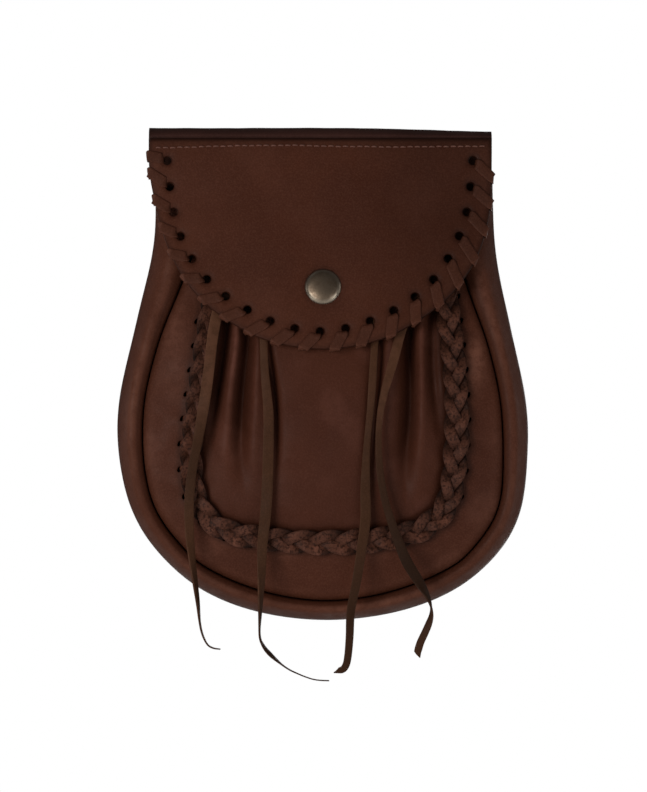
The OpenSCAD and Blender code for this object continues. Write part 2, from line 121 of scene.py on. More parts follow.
# Outlines as [half width, drop], as in the CAD source
SILHOUETTE_HALF = [
    [69.5, 0], [68.6, 30], [70, 52], [76, 80], [82.4, 110], [83, 132],
    [79, 155], [69, 172.5], [51.5, 187.5], [28, 196.7], [0, 200],
]
SEAM_HALF = [
    [47, MOUTH_DROP], [50, 40], [58, 64], [67.5, 90], [72.8, 118], [70.7, 151],
    [58, 171.5], [43.5, 181.7], [22, 189.3], [0, 192],
]
FLAP_HALF = [[69.5, 4.5], [69, 22], [66, 40], [60.5, 55], [51, 68.5], [38, 79], [22, 87], [0, 90.5]]
HOLE_POINTS = [
    [-63, 14], [-60.5, 34], [-55, 50], [-44, 65], [-28.5, 75.5], [-14, 81.5], [0.5, 83.3],
    [15, 80.5], [29.3, 74.4], [43, 64], [53, 49], [58.5, 33], [60.6, 14],
]
BRAID_POINTS = [
    [-41, MOUTH_DROP + 2], [-43, 50], [-46.5, 82], [-50, 107], [-53, 130], [-52.5, 149], [-45, 161],
    [-29, 166], [0, 168], [29, 165.5], [44.5, 158], [51, 146], [54, 125], [53.5, 102], [51, 80], [47, 50],
    [43, MOUTH_DROP + 2],
]
SWAY = [[0, -1.1], [18, -1], [32, 0], [52, 0.6], [80, 0], [130, 0], [170, 2.2], [200, 1.2]]
SEAM_DEPTH = [[18, 12], [40, 14], [64, 17], [90, 21], [118, 24], [151, 24], [171, 22.5], [192, 21]]
FRONT_RISE = [[18, 3], [40, 5.5], [65, 8], [95, 10], [125, 10], [155, 9], [178, 5], [192, 0]]
# Each fold of the gathered panel: its line as [drop, x], its depth or height, and its half width
VALLEYS = [
    [[[18, -37], [75, -38.4], [90, -39.8], [110, -43], [128, -45.4], [140, -46.5]], 5, 1.9],
    [[[18, -28.5], [86, -30.2], [102, -31.7], [119, -32.9], [134, -33.4], [152, -32.6]], 7.8, 2.5],
    [[[18, -24], [86, -23.3], [96, -21.6], [104, -20], [112, -19.2], [130, -19], [152, -19.6]], 4.6, 1.4],
    [[[18, 23.5], [88, 22.4], [104, 21.3], [123, 20], [136, 19.2], [152, 19.4]], 4.8, 1.5],
    [[[18, 34], [88, 34.6], [102, 35.3], [119, 35], [138, 32.8], [160, 31.2]], 7.8, 2.7],
    [[[18, 44], [95, 44.4], [120, 46.6], [138, 48]], 3.5, 2],
]
RIDGES = [
    [[[18, -33], [86, -34.9], [102, -36.4], [119, -37.8], [146, -39.4]], 2, 2.2],
    [[[18, -25.6], [90, -26.8], [110, -27.2], [130, -28.6], [148, -28.4]], 1.2, 1.8],
    [[[18, 28.4], [90, 28], [110, 26.5], [140, 25.4]], 1.3, 2.4],
    [[[18, 39.6], [90, 39.6], [110, 39.4], [128, 38.7], [152, 38]], 2, 2.3],
]
VALLEY_SHARPNESS, RIDGE_SHARPNESS = 1.6, 2

# Centrelines of the four hanging thongs, as in the CAD source
TAIL_ROUTES = [
    [[-37, -28.8, -15], [-39, -33.4, -20.5], [-42.4, -34.9, -27], [-44.4, -36.9, -37], [-45.8, -38.9, -49],
     [-47.5, -40.2, -62], [-50.2, -40.7, -78], [-52.8, -40.6, -92], [-53.9, -40.3, -106], [-53.4, -39.9, -120],
     [-51.6, -39.8, -135], [-50.4, -39.6, -144], [-49.6, -39.5, -152], [-48.5, -39.5, -157],
     [-46.6, -39.4, -160.9], [-44.4, -39.3, -162.4], [-41.3, -39.3, -163]],
    [[-23, -31, -15], [-23.6, -33.4, -26], [-24, -36.2, -37], [-23.4, -38.8, -52], [-22, -39.8, -67],
     [-22, -40.3, -80], [-22.3, -40.5, -94], [-23, -40.6, -107], [-24.4, -40.7, -121], [-24.8, -40.7, -135],
     [-25.3, -40.6, -148], [-25.5, -40.5, -157], [-24.3, -40.5, -161], [-21.5, -40.4, -164.7],
     [-16, -40.3, -169.5], [-11.4, -40.2, -172.2], [-4, -40, -175], [2.5, -40, -175.6]],
    [[23, -31, -15], [22, -33.4, -26], [21, -36.2, -37], [20.2, -38.8, -50], [19.3, -39.8, -64],
     [17.6, -40.3, -82], [17, -40.5, -97], [17.1, -40.6, -110], [15.6, -40.7, -122], [13.5, -40.7, -135.5],
     [11.2, -40.6, -147.5], [10.7, -40.5, -158], [10, -40.4, -166], [9.1, -40.2, -169.6], [7.4, -40.1, -171.3],
     [4.3, -40, -171.5]],
    [[41.5, -28.1, -15], [38, -31, -22], [32.2, -34.6, -33], [28.3, -38.2, -47], [24.6, -41.2, -60],
     [22.8, -42.4, -70], [22.3, -42.6, -80], [23, -42.4, -92], [25, -42, -103.2], [27.4, -41.8, -111.3],
     [30.3, -41.6, -119.5], [33.7, -41.5, -127.6], [38.6, -41.3, -135.7], [41.5, -41.2, -140.5],
     [43.3, -41.1, -145], [43.6, -41, -148.8], [42.6, -41, -152.5], [40.9, -41, -156.5], [39, -41, -160.7],
     [37.6, -41, -166]]
]
# Along each thong, as [share of its length, value]: its twist in degrees, its width as a share of the lace's,
# what its thickness loses and how much painted shade darkens it, as where it comes out from under the flap and
# where it hangs over the braid and the gusset
TAIL_TWISTS = [
    [[0.6, 0], [0.9, 86]],
    [[0.62, 0], [0.78, 85], [0.81, 85], [0.83, 75], [0.85, 68], [0.87, 76], [0.89, 88], [1, 90]],
    [[0.6, 0], [0.9, 20]],
    [[0.78, 0], [0.87, 90], [0.93, 165], [1, 180]],
]
TAIL_WIDTHS = [
    [[0, 1], [0.2, 1.15], [0.45, 1], [0.8, 0.85], [0.93, 0.7], [1, 0.45]],
    [[0, 0.8], [0.25, 0.9], [0.45, 1.18], [0.62, 0.95], [0.75, 0.85], [0.84, 0.85], [0.9, 0.6], [1, 0.4]],
    [[0, 0.8], [0.4, 0.75], [0.62, 1.08], [0.8, 0.85], [0.97, 0.8], [1, 0.5]],
    [[0, 1], [0.25, 0.9], [0.42, 0.62], [0.55, 0.75], [0.74, 1.05], [0.87, 0.85], [0.94, 0.78], [1, 0.76]],
]
TAIL_THINS = [[[0.85, 0], [1, 0.4]], [[0.72, 0], [0.95, 0.4]], [[0.9, 0], [1, 0.2]], [[0.8, 0], [1, 0.2]]]
TAIL_DARKS = [
    [[0, 0.95], [0.055, 0.95], [0.09, 0], [0.3, 0], [0.5, 0.45], [0.62, 0.15], [0.7, 0], [0.9, 0.3], [1, 0.3]],
    [[0.7, 0.05], [0.8, 0.6], [1, 0.55]],
    [[0.6, 0.05], [0.82, 0.5], [0.9, 0.4], [1, 0.35]],
    [[0.4, 0.1], [0.55, 0.45], [0.74, 0.75], [0.86, 0.6], [0.92, 0.1], [1, 0.1]],
]
# How pale each thong's upper part is rubbed, and which of its edges the slanted end cut leaves longer
TAIL_PALES = [0.55, 0.2, 0.2, 0.55]
TAIL_CUTS = [1, 1, 1, -1]


# Lines and surfaces

def spline(points, steps=8):
    """Smooth curve through the points."""
    p = np.array(points, float)
    ends = np.vstack([p[:1], p, p[-1:]])
    t = (np.arange(steps) / steps)[:, None]
    line = []
    for i in range(len(p) - 1):
        a, b, c, d = ends[i:i + 4]
        line.append(0.5 * (2 * b + (c - a) * t + (2 * a - 5 * b + 4 * c - d) * t ** 2
                           + (3 * b - a - 3 * c + d) * t ** 3))
    return np.vstack(line + [p[-1:]])


def mirrored(half):
    p = np.array(half, float)
    return np.vstack([p * [-1, 1], p[-2::-1]])


def lengths(line):
    steps = np.linalg.norm(np.diff(line, axis=0), axis=1)
    return np.concatenate([[0], np.cumsum(steps)])


def spaced(line, count):
    """The same line with count + 1 points, evenly spaced."""
    line = np.asarray(line, float)
    along = lengths(line)
    at = np.linspace(0, along[-1], count + 1)
    return np.stack([np.interp(at, along, line[:, k]) for k in range(line.shape[1])], axis=1)


def unit(vectors):
    return vectors / np.linalg.norm(vectors, axis=1)[:, None]


def ahead_of(line):
    """Unit direction of a line at each of its points."""
    return unit(np.gradient(line, axis=0))


def quarter_turned(directions):
    """Directions in a plane, turned by a quarter."""
    return np.stack([-directions[:, 1], directions[:, 0]], axis=1)


def beside(line, off):
    """The same line, moved off mm outward where it runs down the pouch's left side and up its right."""
    return line + off * quarter_turned(ahead_of(line))


def profile(table, x):
    """Smooth value of a [key, value] table, level past its ends."""
    keys, values = np.array(table, float).T
    last = len(keys) - 1
    before, after = np.maximum(np.arange(last + 1) - 1, 0), np.minimum(np.arange(last + 1) + 1, last)
    slopes = (values[after] - values[before]) / (keys[after] - keys[before])
    i = np.clip(np.searchsorted(keys, x, side="right") - 1, 0, last - 1)
    h = keys[i + 1] - keys[i]
    t = np.clip((x - keys[i]) / h, 0, 1)
    return ((2 * t ** 3 - 3 * t ** 2 + 1) * values[i] + (t ** 3 - 2 * t ** 2 + t) * h * slopes[i]
            + (3 * t ** 2 - 2 * t ** 3) * values[i + 1] + (t ** 3 - t ** 2) * h * slopes[i + 1])


def smooth(low, high, x):
    """From 0 at low to 1 at high, level past both."""
    t = np.clip((x - low) / (high - low), 0, 1)
    return t * t * (3 - 2 * t)


def bump(x, middle, width):
    """1 at the middle, falling to nothing on both sides."""
    return np.exp(-((x - middle) / width) ** 2)


def fade(x, reach):
    """1 where x is 0, falling off over the reach."""
    return np.exp(-x / reach)


def spot(p, x, drop, wide, tall):
    """1 at one place on the leather, falling to nothing round it."""
    return np.exp(-((p[:, 0] - x) / wide) ** 2 - ((p[:, 1] - drop) / tall) ** 2)


def wander(points, size, seed):
    """Soft seeded unevenness from about -1 to 1, whose bumps are about size mm across."""
    draw = np.random.default_rng(seed)
    total = 0
    for _ in range(8):
        direction = draw.normal(size=points.shape[1])
        direction /= np.linalg.norm(direction)
        wave = 2 * math.pi / size * draw.uniform(0.5, 1.4)
        total = total + np.sin(points @ direction * wave + draw.uniform(0, 2 * math.pi))
    return total / 3.5


SEAM_WIDTH = spline(SEAM_HALF)


def front_depth(p):
    """Depth of the smooth front at [x, drop] points."""
    width = np.maximum(np.interp(p[:, 1], SEAM_WIDTH[:, 1], SEAM_WIDTH[:, 0]), 1)
    share = np.minimum(1, np.abs(p[:, 0]) / width)
    return profile(SEAM_DEPTH, p[:, 1]) + profile(FRONT_RISE, p[:, 1]) * (1 - share ** 2)


def place(p, depth):
    """Points in space from [x, drop] points and their depths."""
    x = p[:, 0] + profile(SWAY, p[:, 1])
    return np.stack([x, BACK_FRONT_Y - depth, TOP_Z - p[:, 1]], axis=1)


def fold(f, p, sharpness):
    """Share of one fold's depth or height at each point: most along its line, less at its top and foot."""
    line, _, half = f
    t = np.clip((p[:, 1] - line[0][0]) / (line[-1][0] - line[0][0]), 0, 1)
    off = np.abs(p[:, 0] - profile(line, p[:, 1])) / (half * (0.9 + 0.5 * t ** 2))
    along = (0.4 + 0.6 * np.sin(math.pi / 2 * np.clip(t / 0.4, 0, 1))) * (1 - smooth(0.68, 1, t))
    return along * np.exp(-off ** sharpness)


def pleats(p):
    down = sum(v[1] * fold(v, p, VALLEY_SHARPNESS) for v in VALLEYS)
    up = sum(r[1] * fold(r, p, RIDGE_SHARPNESS) for r in RIDGES)
    return up - down


def flap_drape(p):
    """How far the flap's leather stands off its flat shape: it bows back at the sides and dips at the snap."""
    loose = smooth(6, 34, p[:, 1])
    bow = -2.6 * (p[:, 0] / 69) ** 2 * loose
    dip = -0.7 * np.exp(-(p[:, 0] ** 2 + (p[:, 1] - SNAP_DROP) ** 2) / 95)
    return bow + dip + 0.35 * wander(p, 46, 3) * loose


def on_flap(p, height, drape=True):
    """Points in space from [x, drop] points on the flap and their heights off its rear face."""
    up = -(p[:, 1] - FLAP_TOP_DROP) / math.cos(FLAP_TILT)
    off = height + (flap_drape(p) if drape else 0)
    y = FRONT_FOLD[1] + up * math.sin(FLAP_TILT) - off * math.cos(FLAP_TILT)
    z = FRONT_FOLD[2] + up * math.cos(FLAP_TILT) + off * math.sin(FLAP_TILT)
    return np.stack([p[:, 0], y, z], axis=1)


# Meshes

def make(name, places, faces, material, slot, body=None, replaces=()):
    """One closed piece from places in mm, faces and a material."""
    mesh = bpy.data.meshes.new(name)
    mesh.from_pydata((np.asarray(places) * MM).tolist(), [], [[int(i) for i in f] for f in faces])
    work = bmesh.new()
    work.from_mesh(mesh)
    bmesh.ops.recalc_face_normals(work, faces=work.faces)
    work.to_mesh(mesh)
    work.free()
    mesh.polygons.foreach_set("use_smooth", [True] * len(mesh.polygons))
    mesh.materials.append(material)
    piece = bpy.data.objects.new(name, mesh)
    bpy.context.scene.collection.objects.link(piece)
    if replaces:
        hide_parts(*replaces)
    if body:
        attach(piece, body)
    return piece


def paint(piece, **layers):
    """Gives the piece's material values at each vertex: dark, which paints shade into crevices, holes, seams,
    edges and sides turned from the light, and the paler value, which stands for rubbing and for painted
    highlights. One value may stand for all vertices, and the middles of a swept piece's ends, where they have
    no value, get 0."""
    count = len(piece.data.vertices)
    for name, values in layers.items():
        values = np.atleast_1d(values)
        if len(values) == 1:
            values = np.repeat(values, count)
        values = np.append(values, np.zeros(count - len(values)))
        attribute = piece.data.attributes.new(name, "FLOAT", "POINT")
        attribute.data.foreach_set("value", np.clip(values, 0, 1).astype(np.float32))


def around_rings(sides, rings):
    """Angle round the section of each place of a swept piece's rings."""
    return np.tile(np.arange(sides), rings) * 2 * math.pi / sides


def inside(p, loop):
    """Which points lie inside a closed loop."""
    result = np.zeros(len(p), bool)
    for a, b in zip(loop, np.roll(loop, -1, axis=0)):
        if a[1] != b[1]:
            between = (a[1] > p[:, 1]) != (b[1] > p[:, 1])
            result ^= between & (p[:, 0] < a[0] + (p[:, 1] - a[1]) * (b[0] - a[0]) / (b[1] - a[1]))
    return result


def nearest(p, targets):
    """Distance from each point to the nearest target, and that target's number."""
    tree = KDTree(len(targets))
    for i, t in enumerate(targets):
        tree.insert((*t, 0) if len(t) == 2 else t, i)
    tree.balance()
    found = [tree.find((*q, 0) if len(q) == 2 else q) for q in p]
    return np.array([f[2] for f in found]), np.array([f[1] for f in found])


def away_from(loop, hole):
    """Unit directions that point out of the leather at each point of one of its loops."""
    ahead = unit(np.roll(loop, -1, axis=0) - np.roll(loop, 1, axis=0))
    x, y = loop.T
    area = np.sum(x * np.roll(y, -1) - np.roll(x, -1) * y)
    sign = (-1 if area > 0 else 1) * (-1 if hole else 1)
    return sign * quarter_turned(ahead)


def cut(outline, holes, spacing):
    """Fills an outline round its holes with triangles: the points, the triangles and each loop's points."""
    def filled(p):
        result = inside(p, outline)
        for hole in holes:
            result &= ~inside(p, hole)
        return result

    row_gap, edge_gap, tolerance = spacing * 0.87, spacing * 0.62, 1e-5
    loops = [outline, *holes]
    starts = [sum(len(loop) for loop in loops[:k]) for k in range(len(loops) + 1)]
    spans = list(zip(starts, starts[1:]))
    low, high = outline.min(axis=0), outline.max(axis=0)
    grid = np.array([[x + (k % 2) * spacing / 2, y] for k, y in enumerate(np.arange(low[1], high[1], row_gap))
                     for x in np.arange(low[0], high[0], spacing)])
    grid = grid[filled(grid)]
    grid = grid[nearest(grid, np.vstack(loops))[0] > edge_gap]
    edges = [(a + k, a + (k + 1) % (b - a)) for a, b in spans for k in range(b - a)]
    points = [Vector(p) for p in np.vstack(loops + [grid])]
    flat, _, faces, sources, *_ = delaunay_2d_cdt(points, edges, [], 1, tolerance)
    flat, faces = np.array([list(v) for v in flat]), np.array(faces)
    new = {old: i for i, olds in enumerate(sources) for old in olds}
    rings = [np.array([new[k] for k in range(a, b)]) for a, b in spans]
    return flat, faces[filled(flat[faces].mean(axis=1))], rings


def panel(name, outline, surface, thickness, spacing, material, slot, body, replaces, holes=(), edge_r=0.55):
    """A closed sheet of leather with rounded cut edges. surface(points, depths below its face) places them.
    Returns the piece, the flat points of its vertices and their depths below the face."""
    steps = 3
    loops = [outline, *holes]
    away = [away_from(loop, i > 0) for i, loop in enumerate(loops)]
    flat, faces, rings = cut(outline - away[0] * edge_r,
                             [loop - n * edge_r for loop, n in zip(loops[1:], away[1:])], spacing)
    count = len(flat)
    points, below = [flat, flat], [np.zeros(count), np.full(count, thickness)]
    all_faces = list(faces) + list(faces[:, ::-1] + count)
    total = 2 * count

    def bridge(ring, other):
        size = len(ring)
        return [(ring[k], ring[(k + 1) % size], other[(k + 1) % size], other[k]) for k in range(size)]

    turns = [k * math.pi / 2 / steps for k in range(1, steps + 1)]
    shape = [(edge_r * math.sin(a), edge_r * (1 - math.cos(a))) for a in turns]
    shape += [(off, thickness - under) for off, under in reversed(shape)]
    for ring, n in zip(rings, away):
        size = len(ring)
        previous = ring
        for off, under in shape:
            points.append(flat[ring] + n * off)
            below.append(np.full(size, under))
            current = np.arange(total, total + size)
            total += size
            all_faces += bridge(previous, current)
            previous = current
        all_faces += bridge(previous, ring + count)
    points, below = np.vstack(points), np.concatenate(below)
    piece = make(name, surface(points, below), all_faces, material, slot, body, replaces)
    return piece, points, below


def tube(rings, around):
    """Faces between rings that have so many places around them."""
    return [(i * around + j, i * around + (j + 1) % around, (i + 1) * around + (j + 1) % around,
             (i + 1) * around + j) for i in range(rings - 1) for j in range(around)]


def tube_to_points(rings, around):
    """Faces of a tube whose ends close on two places that come after its rings."""
    end = (rings - 1) * around
    faces = tube(rings, around)
    faces += [(j, (j + 1) % around, rings * around) for j in range(around)]
    faces += [(end + (j + 1) % around, end + j, rings * around + 1) for j in range(around)]
    return faces


def tube_of_sheet(rings, around):
    """Faces of a thin sheet: each ring runs along its outer face and back along its inner one."""
    faces = tube(rings, around)
    for end in (0, (rings - 1) * around):
        faces += [(end + j, end + j + 1, end + around - 2 - j, end + around - 1 - j)
                  for j in range(around // 2 - 1)]
    return faces


def lace_section(width, thick, sides=14, square=0.6):
    """Section of a flat lace with rounded edges."""
    a = np.arange(sides) * 2 * math.pi / sides
    across, up = (np.sign(v) * np.abs(v) ** square for v in (np.cos(a), np.sin(a)))
    return np.stack([across * width / 2, up * thick / 2], axis=1)


def slab_section(width, thick, corner_r, across):
    """Section of a strap: a wide rectangle with rounded corners."""
    points = []
    for sx, sy, start in ((1, 1, 0), (-1, 1, 90), (-1, -1, 180), (1, -1, 270)):
        middle = np.array([sx * (width / 2 - corner_r), sy * (thick / 2 - corner_r)])
        for turn in (0, 30, 60, 90):
            a = math.radians(start + turn)
            points.append(middle + corner_r * np.array([math.cos(a), math.sin(a)]))
        if sx == sy:
            side = np.linspace(1, -1, across + 1)[1:-1] * sx * (width / 2 - corner_r)
            points += [np.array([x, sy * thick / 2]) for x in side]
    return np.array(points)


def swept(line, hints, section, wide=1.0, thick=1.0):
    """Places and faces of a closed strip: the section follows the line, its width along the hint or hints.
    wide and thick scale it, everywhere or at each point of the line. The middles of its ends come last."""
    count = len(line)
    hints = np.broadcast_to(np.asarray(hints, float), (count, 3))
    ahead = ahead_of(line)
    across = unit(hints - ahead * np.sum(hints * ahead, axis=1)[:, None])
    up = np.cross(ahead, across)
    wide, thick = (np.broadcast_to(s, count)[:, None, None] for s in (wide, thick))
    rings = line[:, None] + across[:, None] * (section[:, :1] * wide) + up[:, None] * (section[:, 1:] * thick)
    return np.vstack([rings.reshape(-1, 3), line[:1], line[-1:]]), tube_to_points(count, len(section))


def joined(parts):
    """Places and faces of several closed parts as one piece."""
    places, faces, total = [], [], 0
    for part_places, part_faces in parts:
        places.append(part_places)
        faces += [[i + total for i in f] for f in part_faces]
        total += len(part_places)
    return np.vstack(places), faces


def stitches(line, normals, seed, pitch=3.4, length=2.4):
    """Thread stitches along a line, lying on the leather and dipping into it at their ends."""
    shape = [(-0.52, -0.5), (-0.44, 0.05), (-0.25, 0.3), (0, 0.36), (0.25, 0.3), (0.44, 0.05), (0.52, -0.5)]
    draw = np.random.default_rng(seed)
    total = lengths(line)[-1]
    count = int(total / pitch)
    along = spaced(line, count * 2)
    normal = spaced(np.broadcast_to(normals, line.shape), count * 2)
    direction = ahead_of(along)
    section = lace_section(THREAD_D, THREAD_D, sides=8, square=1)
    parts = []
    for k in range(count):
        middle, ahead, out = along[2 * k + 1], direction[2 * k + 1], normal[2 * k + 1]
        side = np.cross(ahead, out) * draw.uniform(-0.12, 0.12)
        path = np.array([middle + ahead * a * length + out * h + side for a, h in shape])
        parts.append(swept(path, np.cross(ahead, out), section))
    return joined(parts)


def lathe(outline, around):
    """Places and faces of a turned part, from its [radius, height] points, which go from end to end."""
    p = np.array(outline, float)
    angles = np.arange(around) * 2 * math.pi / around
    circle = np.stack([np.cos(angles), np.sin(angles)], axis=1)
    rings = [np.hstack([r * circle, np.full((around, 1), h)]) for r, h in p[1:-1]]
    places = np.vstack(rings + [[[0, 0, p[0][1]], [0, 0, p[-1][1]]]])
    return places, tube_to_points(len(rings), around)


# Materials

class Nodes:
    """Short way to write a node tree."""

    def __init__(self, name):
        self.material = bpy.data.materials.new(name)
        self.material.use_nodes = True
        self.tree = self.material.node_tree
        self.tree.nodes.clear()
        self.where = self.add("ShaderNodeTexCoord").outputs["Object"]

    def add(self, kind, inputs=None, **settings):
        made = self.tree.nodes.new(kind)
        for key, value in settings.items():
            setattr(made, key, value)
        for key, value in (inputs or {}).items():
            if isinstance(value, bpy.types.NodeSocket):
                self.tree.links.new(value, made.inputs[key])
            else:
                made.inputs[key].default_value = value
        return made

    def noise(self, scale, detail=3, rough=0.55):
        made = self.add("ShaderNodeTexNoise",
                        {"Vector": self.where, "Scale": scale, "Detail": detail, "Roughness": rough})
        return made.outputs["Fac"]

    def cells(self, scale):
        made = self.add("ShaderNodeTexVoronoi", {"Vector": self.where, "Scale": scale}, feature="SMOOTH_F1")
        return made.outputs["Distance"]

    def stretched(self, scale, ratio):
        """Noise drawn out along the Z axis, as the fibres of a strip of leather are."""
        mapped = self.add("ShaderNodeMapping", {"Vector": self.where, "Scale": (1, 1, ratio)})
        made = self.add("ShaderNodeTexNoise", {"Vector": mapped.outputs[0], "Scale": scale, "Detail": 3})
        return made.outputs["Fac"]

    def value(self, name):
        return self.add("ShaderNodeAttribute", attribute_name=name).outputs["Fac"]

    def math(self, operation, a, b):
        return self.add("ShaderNodeMath", {0: a, 1: b}, operation=operation).outputs[0]

    def ramp(self, value, low, high, to_low=0.0, to_high=1.0):
        inputs = {"Value": value, "From Min": low, "From Max": high, "To Min": to_low, "To Max": to_high}
        return self.add("ShaderNodeMapRange", inputs, interpolation_type="SMOOTHSTEP").outputs["Result"]

    def mix(self, share, a, b):
        """Colour between a, where the share is 0, and b. Sockets 0, 6, 7 and 2 are the node's colour ones."""
        a, b = (c if isinstance(c, bpy.types.NodeSocket) else (*c, 1) for c in (a, b))
        return self.add("ShaderNodeMix", {0: share, 6: a, 7: b}, data_type="RGBA").outputs[2]

    def finish(self, shader_inputs, height=None, strength=0.3, distance=0.0002):
        if height is not None:
            relief = self.add("ShaderNodeBump", {"Height": height, "Strength": strength, "Distance": distance})
            shader_inputs["Normal"] = relief.outputs["Normal"]
        shader = self.add("ShaderNodeBsdfPrincipled", shader_inputs)
        self.add("ShaderNodeOutputMaterial", {"Surface": shader.outputs["BSDF"]})
        return self.material


def leather(name, tone, deep, pale_tone, rough=0.52, grain=1300, relief=0.35, fibres=0.0, flecks=0.0):
    """Dyed leather: mottled, with painted shade where the dark value is set, as in folds, holes, seams and at
    edges, paler where it is scuffed and where highlights are painted, with a fine grain.
    """
    n = Nodes(name)
    broad, patches, fine = n.noise(22, 3), n.noise(120, 4, 0.6), n.noise(1500, 2)
    mottled = n.mix(n.ramp(broad, 0.34, 0.66), tone, deep)
    mottled = n.mix(n.ramp(patches, 0.4, 0.72, 0, 0.4), mottled, deep)
    mottled = n.mix(n.ramp(fine, 0.35, 0.8, 0, 0.22), mottled, pale_tone)
    # The paler value stands for both rubbing and painted highlights; noise breaks it up.
    paler_share = n.math("MULTIPLY", n.value("worn"), n.ramp(n.noise(260, 4, 0.7), 0.3, 0.62, 0.35, 1))
    worn = n.mix(paler_share, mottled, pale_tone)
    # Near-black colour, mixed in as painted shade by the dark value and as small dark flecks.
    dark = tuple(c * 0.22 for c in deep)
    if flecks:
        worn = n.mix(n.ramp(n.noise(800, 4, 0.7), 0.46, 0.62, 0, flecks), worn, dark)
    colour = n.mix(n.math("MULTIPLY", n.value("dark"), 0.9), worn, dark)
    cells, pores = n.cells(grain), n.noise(grain * 2.2, 2)
    height = n.math("ADD", n.math("MULTIPLY", cells, 0.7), n.math("MULTIPLY", pores, 0.5))
    height = n.math("ADD", height, n.math("MULTIPLY", patches, 0.9))
    if fibres:
        height = n.math("ADD", height, n.math("MULTIPLY", n.stretched(900, 0.12), fibres))
    roughness = n.math("ADD", n.ramp(patches, 0.3, 0.7, rough - 0.07, rough + 0.1),
                       n.math("MULTIPLY", paler_share, -0.06))
    return n.finish({"Base Color": colour, "Roughness": roughness, "Specular IOR Level": 0.06},
                    height, relief, 0.00022)


def waxed_thread(name, tone, deep):
    n = Nodes(name)
    twist = n.noise(2600, 2)
    colour = n.mix(n.ramp(twist, 0.35, 0.65), tone, deep)
    return n.finish({"Base Color": colour, "Roughness": 0.6, "Specular IOR Level": 0.3}, twist, 0.6, 0.0002)


def old_nickel(name):
    """Plated metal gone dull, brighter where handled and where glints are painted, darker where shade is
    painted.
    """
    n = Nodes(name)
    cloud, spots = n.noise(420, 4, 0.65), n.noise(1800, 3)
    plate = n.mix(n.ramp(cloud, 0.35, 0.7), (0.14, 0.105, 0.075), (0.085, 0.061, 0.043))
    # Paler where the paler value is set: handling on the socket, stud and post, and painted glints on the
    # cap's rim.
    plate = n.mix(n.math("MULTIPLY", n.value("worn"), 0.8), plate, (0.46, 0.4, 0.32))
    # Darker where the dark value is set: painted shade at the cap's outer lip, and its middle slightly darker.
    plate = n.mix(n.math("MULTIPLY", n.value("dark"), 0.85), plate, (0.05, 0.035, 0.025))
    rough = n.ramp(cloud, 0.3, 0.7, 0.36, 0.5)
    roughness = n.math("SUBTRACT", rough, n.math("MULTIPLY", n.value("worn"), 0.2))
    return n.finish({"Base Color": plate, "Metallic": 1.0, "Roughness": roughness}, spots, 0.12, 0.0001)


def studio_floor(name):
    n = Nodes(name)
    colour = n.mix(n.noise(3, 2), (0.86, 0.86, 0.85), (0.9, 0.9, 0.89))
    return n.finish({"Base Color": colour, "Roughness": 0.9, "Specular IOR Level": 0.1,
                     "Emission Color": colour, "Emission Strength": 0.3})


HIDE = leather("hide", (0.050, 0.0146, 0.0072), (0.041, 0.0119, 0.006), (0.125, 0.049, 0.031))
SOFT_HIDE = leather("soft_hide", (0.050, 0.0146, 0.0072), (0.041, 0.0119, 0.006), (0.1, 0.036, 0.024),
                    rough=0.55, grain=1500)
# Darker copy of the hide for the rolled strip: painted shade for a band that curves away from the light.
STRIP_HIDE_SHADED = leather("strip_hide", (0.041, 0.0165, 0.013), (0.031, 0.0125, 0.0098), (0.08, 0.036, 0.029),
                     rough=0.7)
LACE = leather("lace", (0.047, 0.0148, 0.0078), (0.034, 0.0112, 0.0062), (0.12, 0.046, 0.029),
               rough=0.55, grain=1800, relief=0.45, fibres=0.8)
BRAID_LACE = leather("braid_lace", (0.042, 0.0142, 0.0077), (0.027, 0.0098, 0.0058), (0.15, 0.058, 0.037),
                     rough=0.5, grain=1500, relief=0.7, fibres=0.8, flecks=0.7)
THONG = leather("thong", (0.042, 0.0168, 0.0072), (0.029, 0.0119, 0.0053), (0.095, 0.04, 0.022),
                rough=0.6, grain=1800, relief=0.3, fibres=0.6)
THREAD = waxed_thread("thread", (0.12, 0.048, 0.034), (0.075, 0.03, 0.02))
METAL = old_nickel("metal")


# Camera, light and floor

def make_camera():
    """Straight in front, as far away as a long lens needs to see the whole height."""
    seen_height = 321.2
    lens = 300
    sensor = 36
    aim_x, aim_drop, depth_drop = 0.2, 109, 40.0
    data = bpy.data.cameras.new("camera")
    data.lens, data.sensor_width = lens, sensor
    camera = bpy.data.objects.new("camera", data)
    distance = seen_height * lens / sensor
    middle_y = BACK_FRONT_Y - profile(SEAM_DEPTH, np.array([depth_drop]))[0]
    camera.location = Vector((aim_x, middle_y - distance, TOP_Z - aim_drop)) * MM
    camera.rotation_euler = (math.pi / 2, 0, 0)
    data.clip_start, data.clip_end = 0.01, 30
    bpy.context.scene.collection.objects.link(camera)
    bpy.context.scene.camera = camera


def softbox(name, place_m, size, power, tone=(1, 1, 1)):
    data = bpy.data.lights.new(name, "AREA")
    data.shape, data.size, data.energy, data.color = "SQUARE", size, power, tone
    lamp = bpy.data.objects.new(name, data)
    lamp.location = place_m
    aim = Vector((0, 0, -0.05)) - Vector(place_m)
    lamp.rotation_euler = aim.to_track_quat("-Z", "Y").to_euler()
    bpy.context.scene.collection.objects.link(lamp)


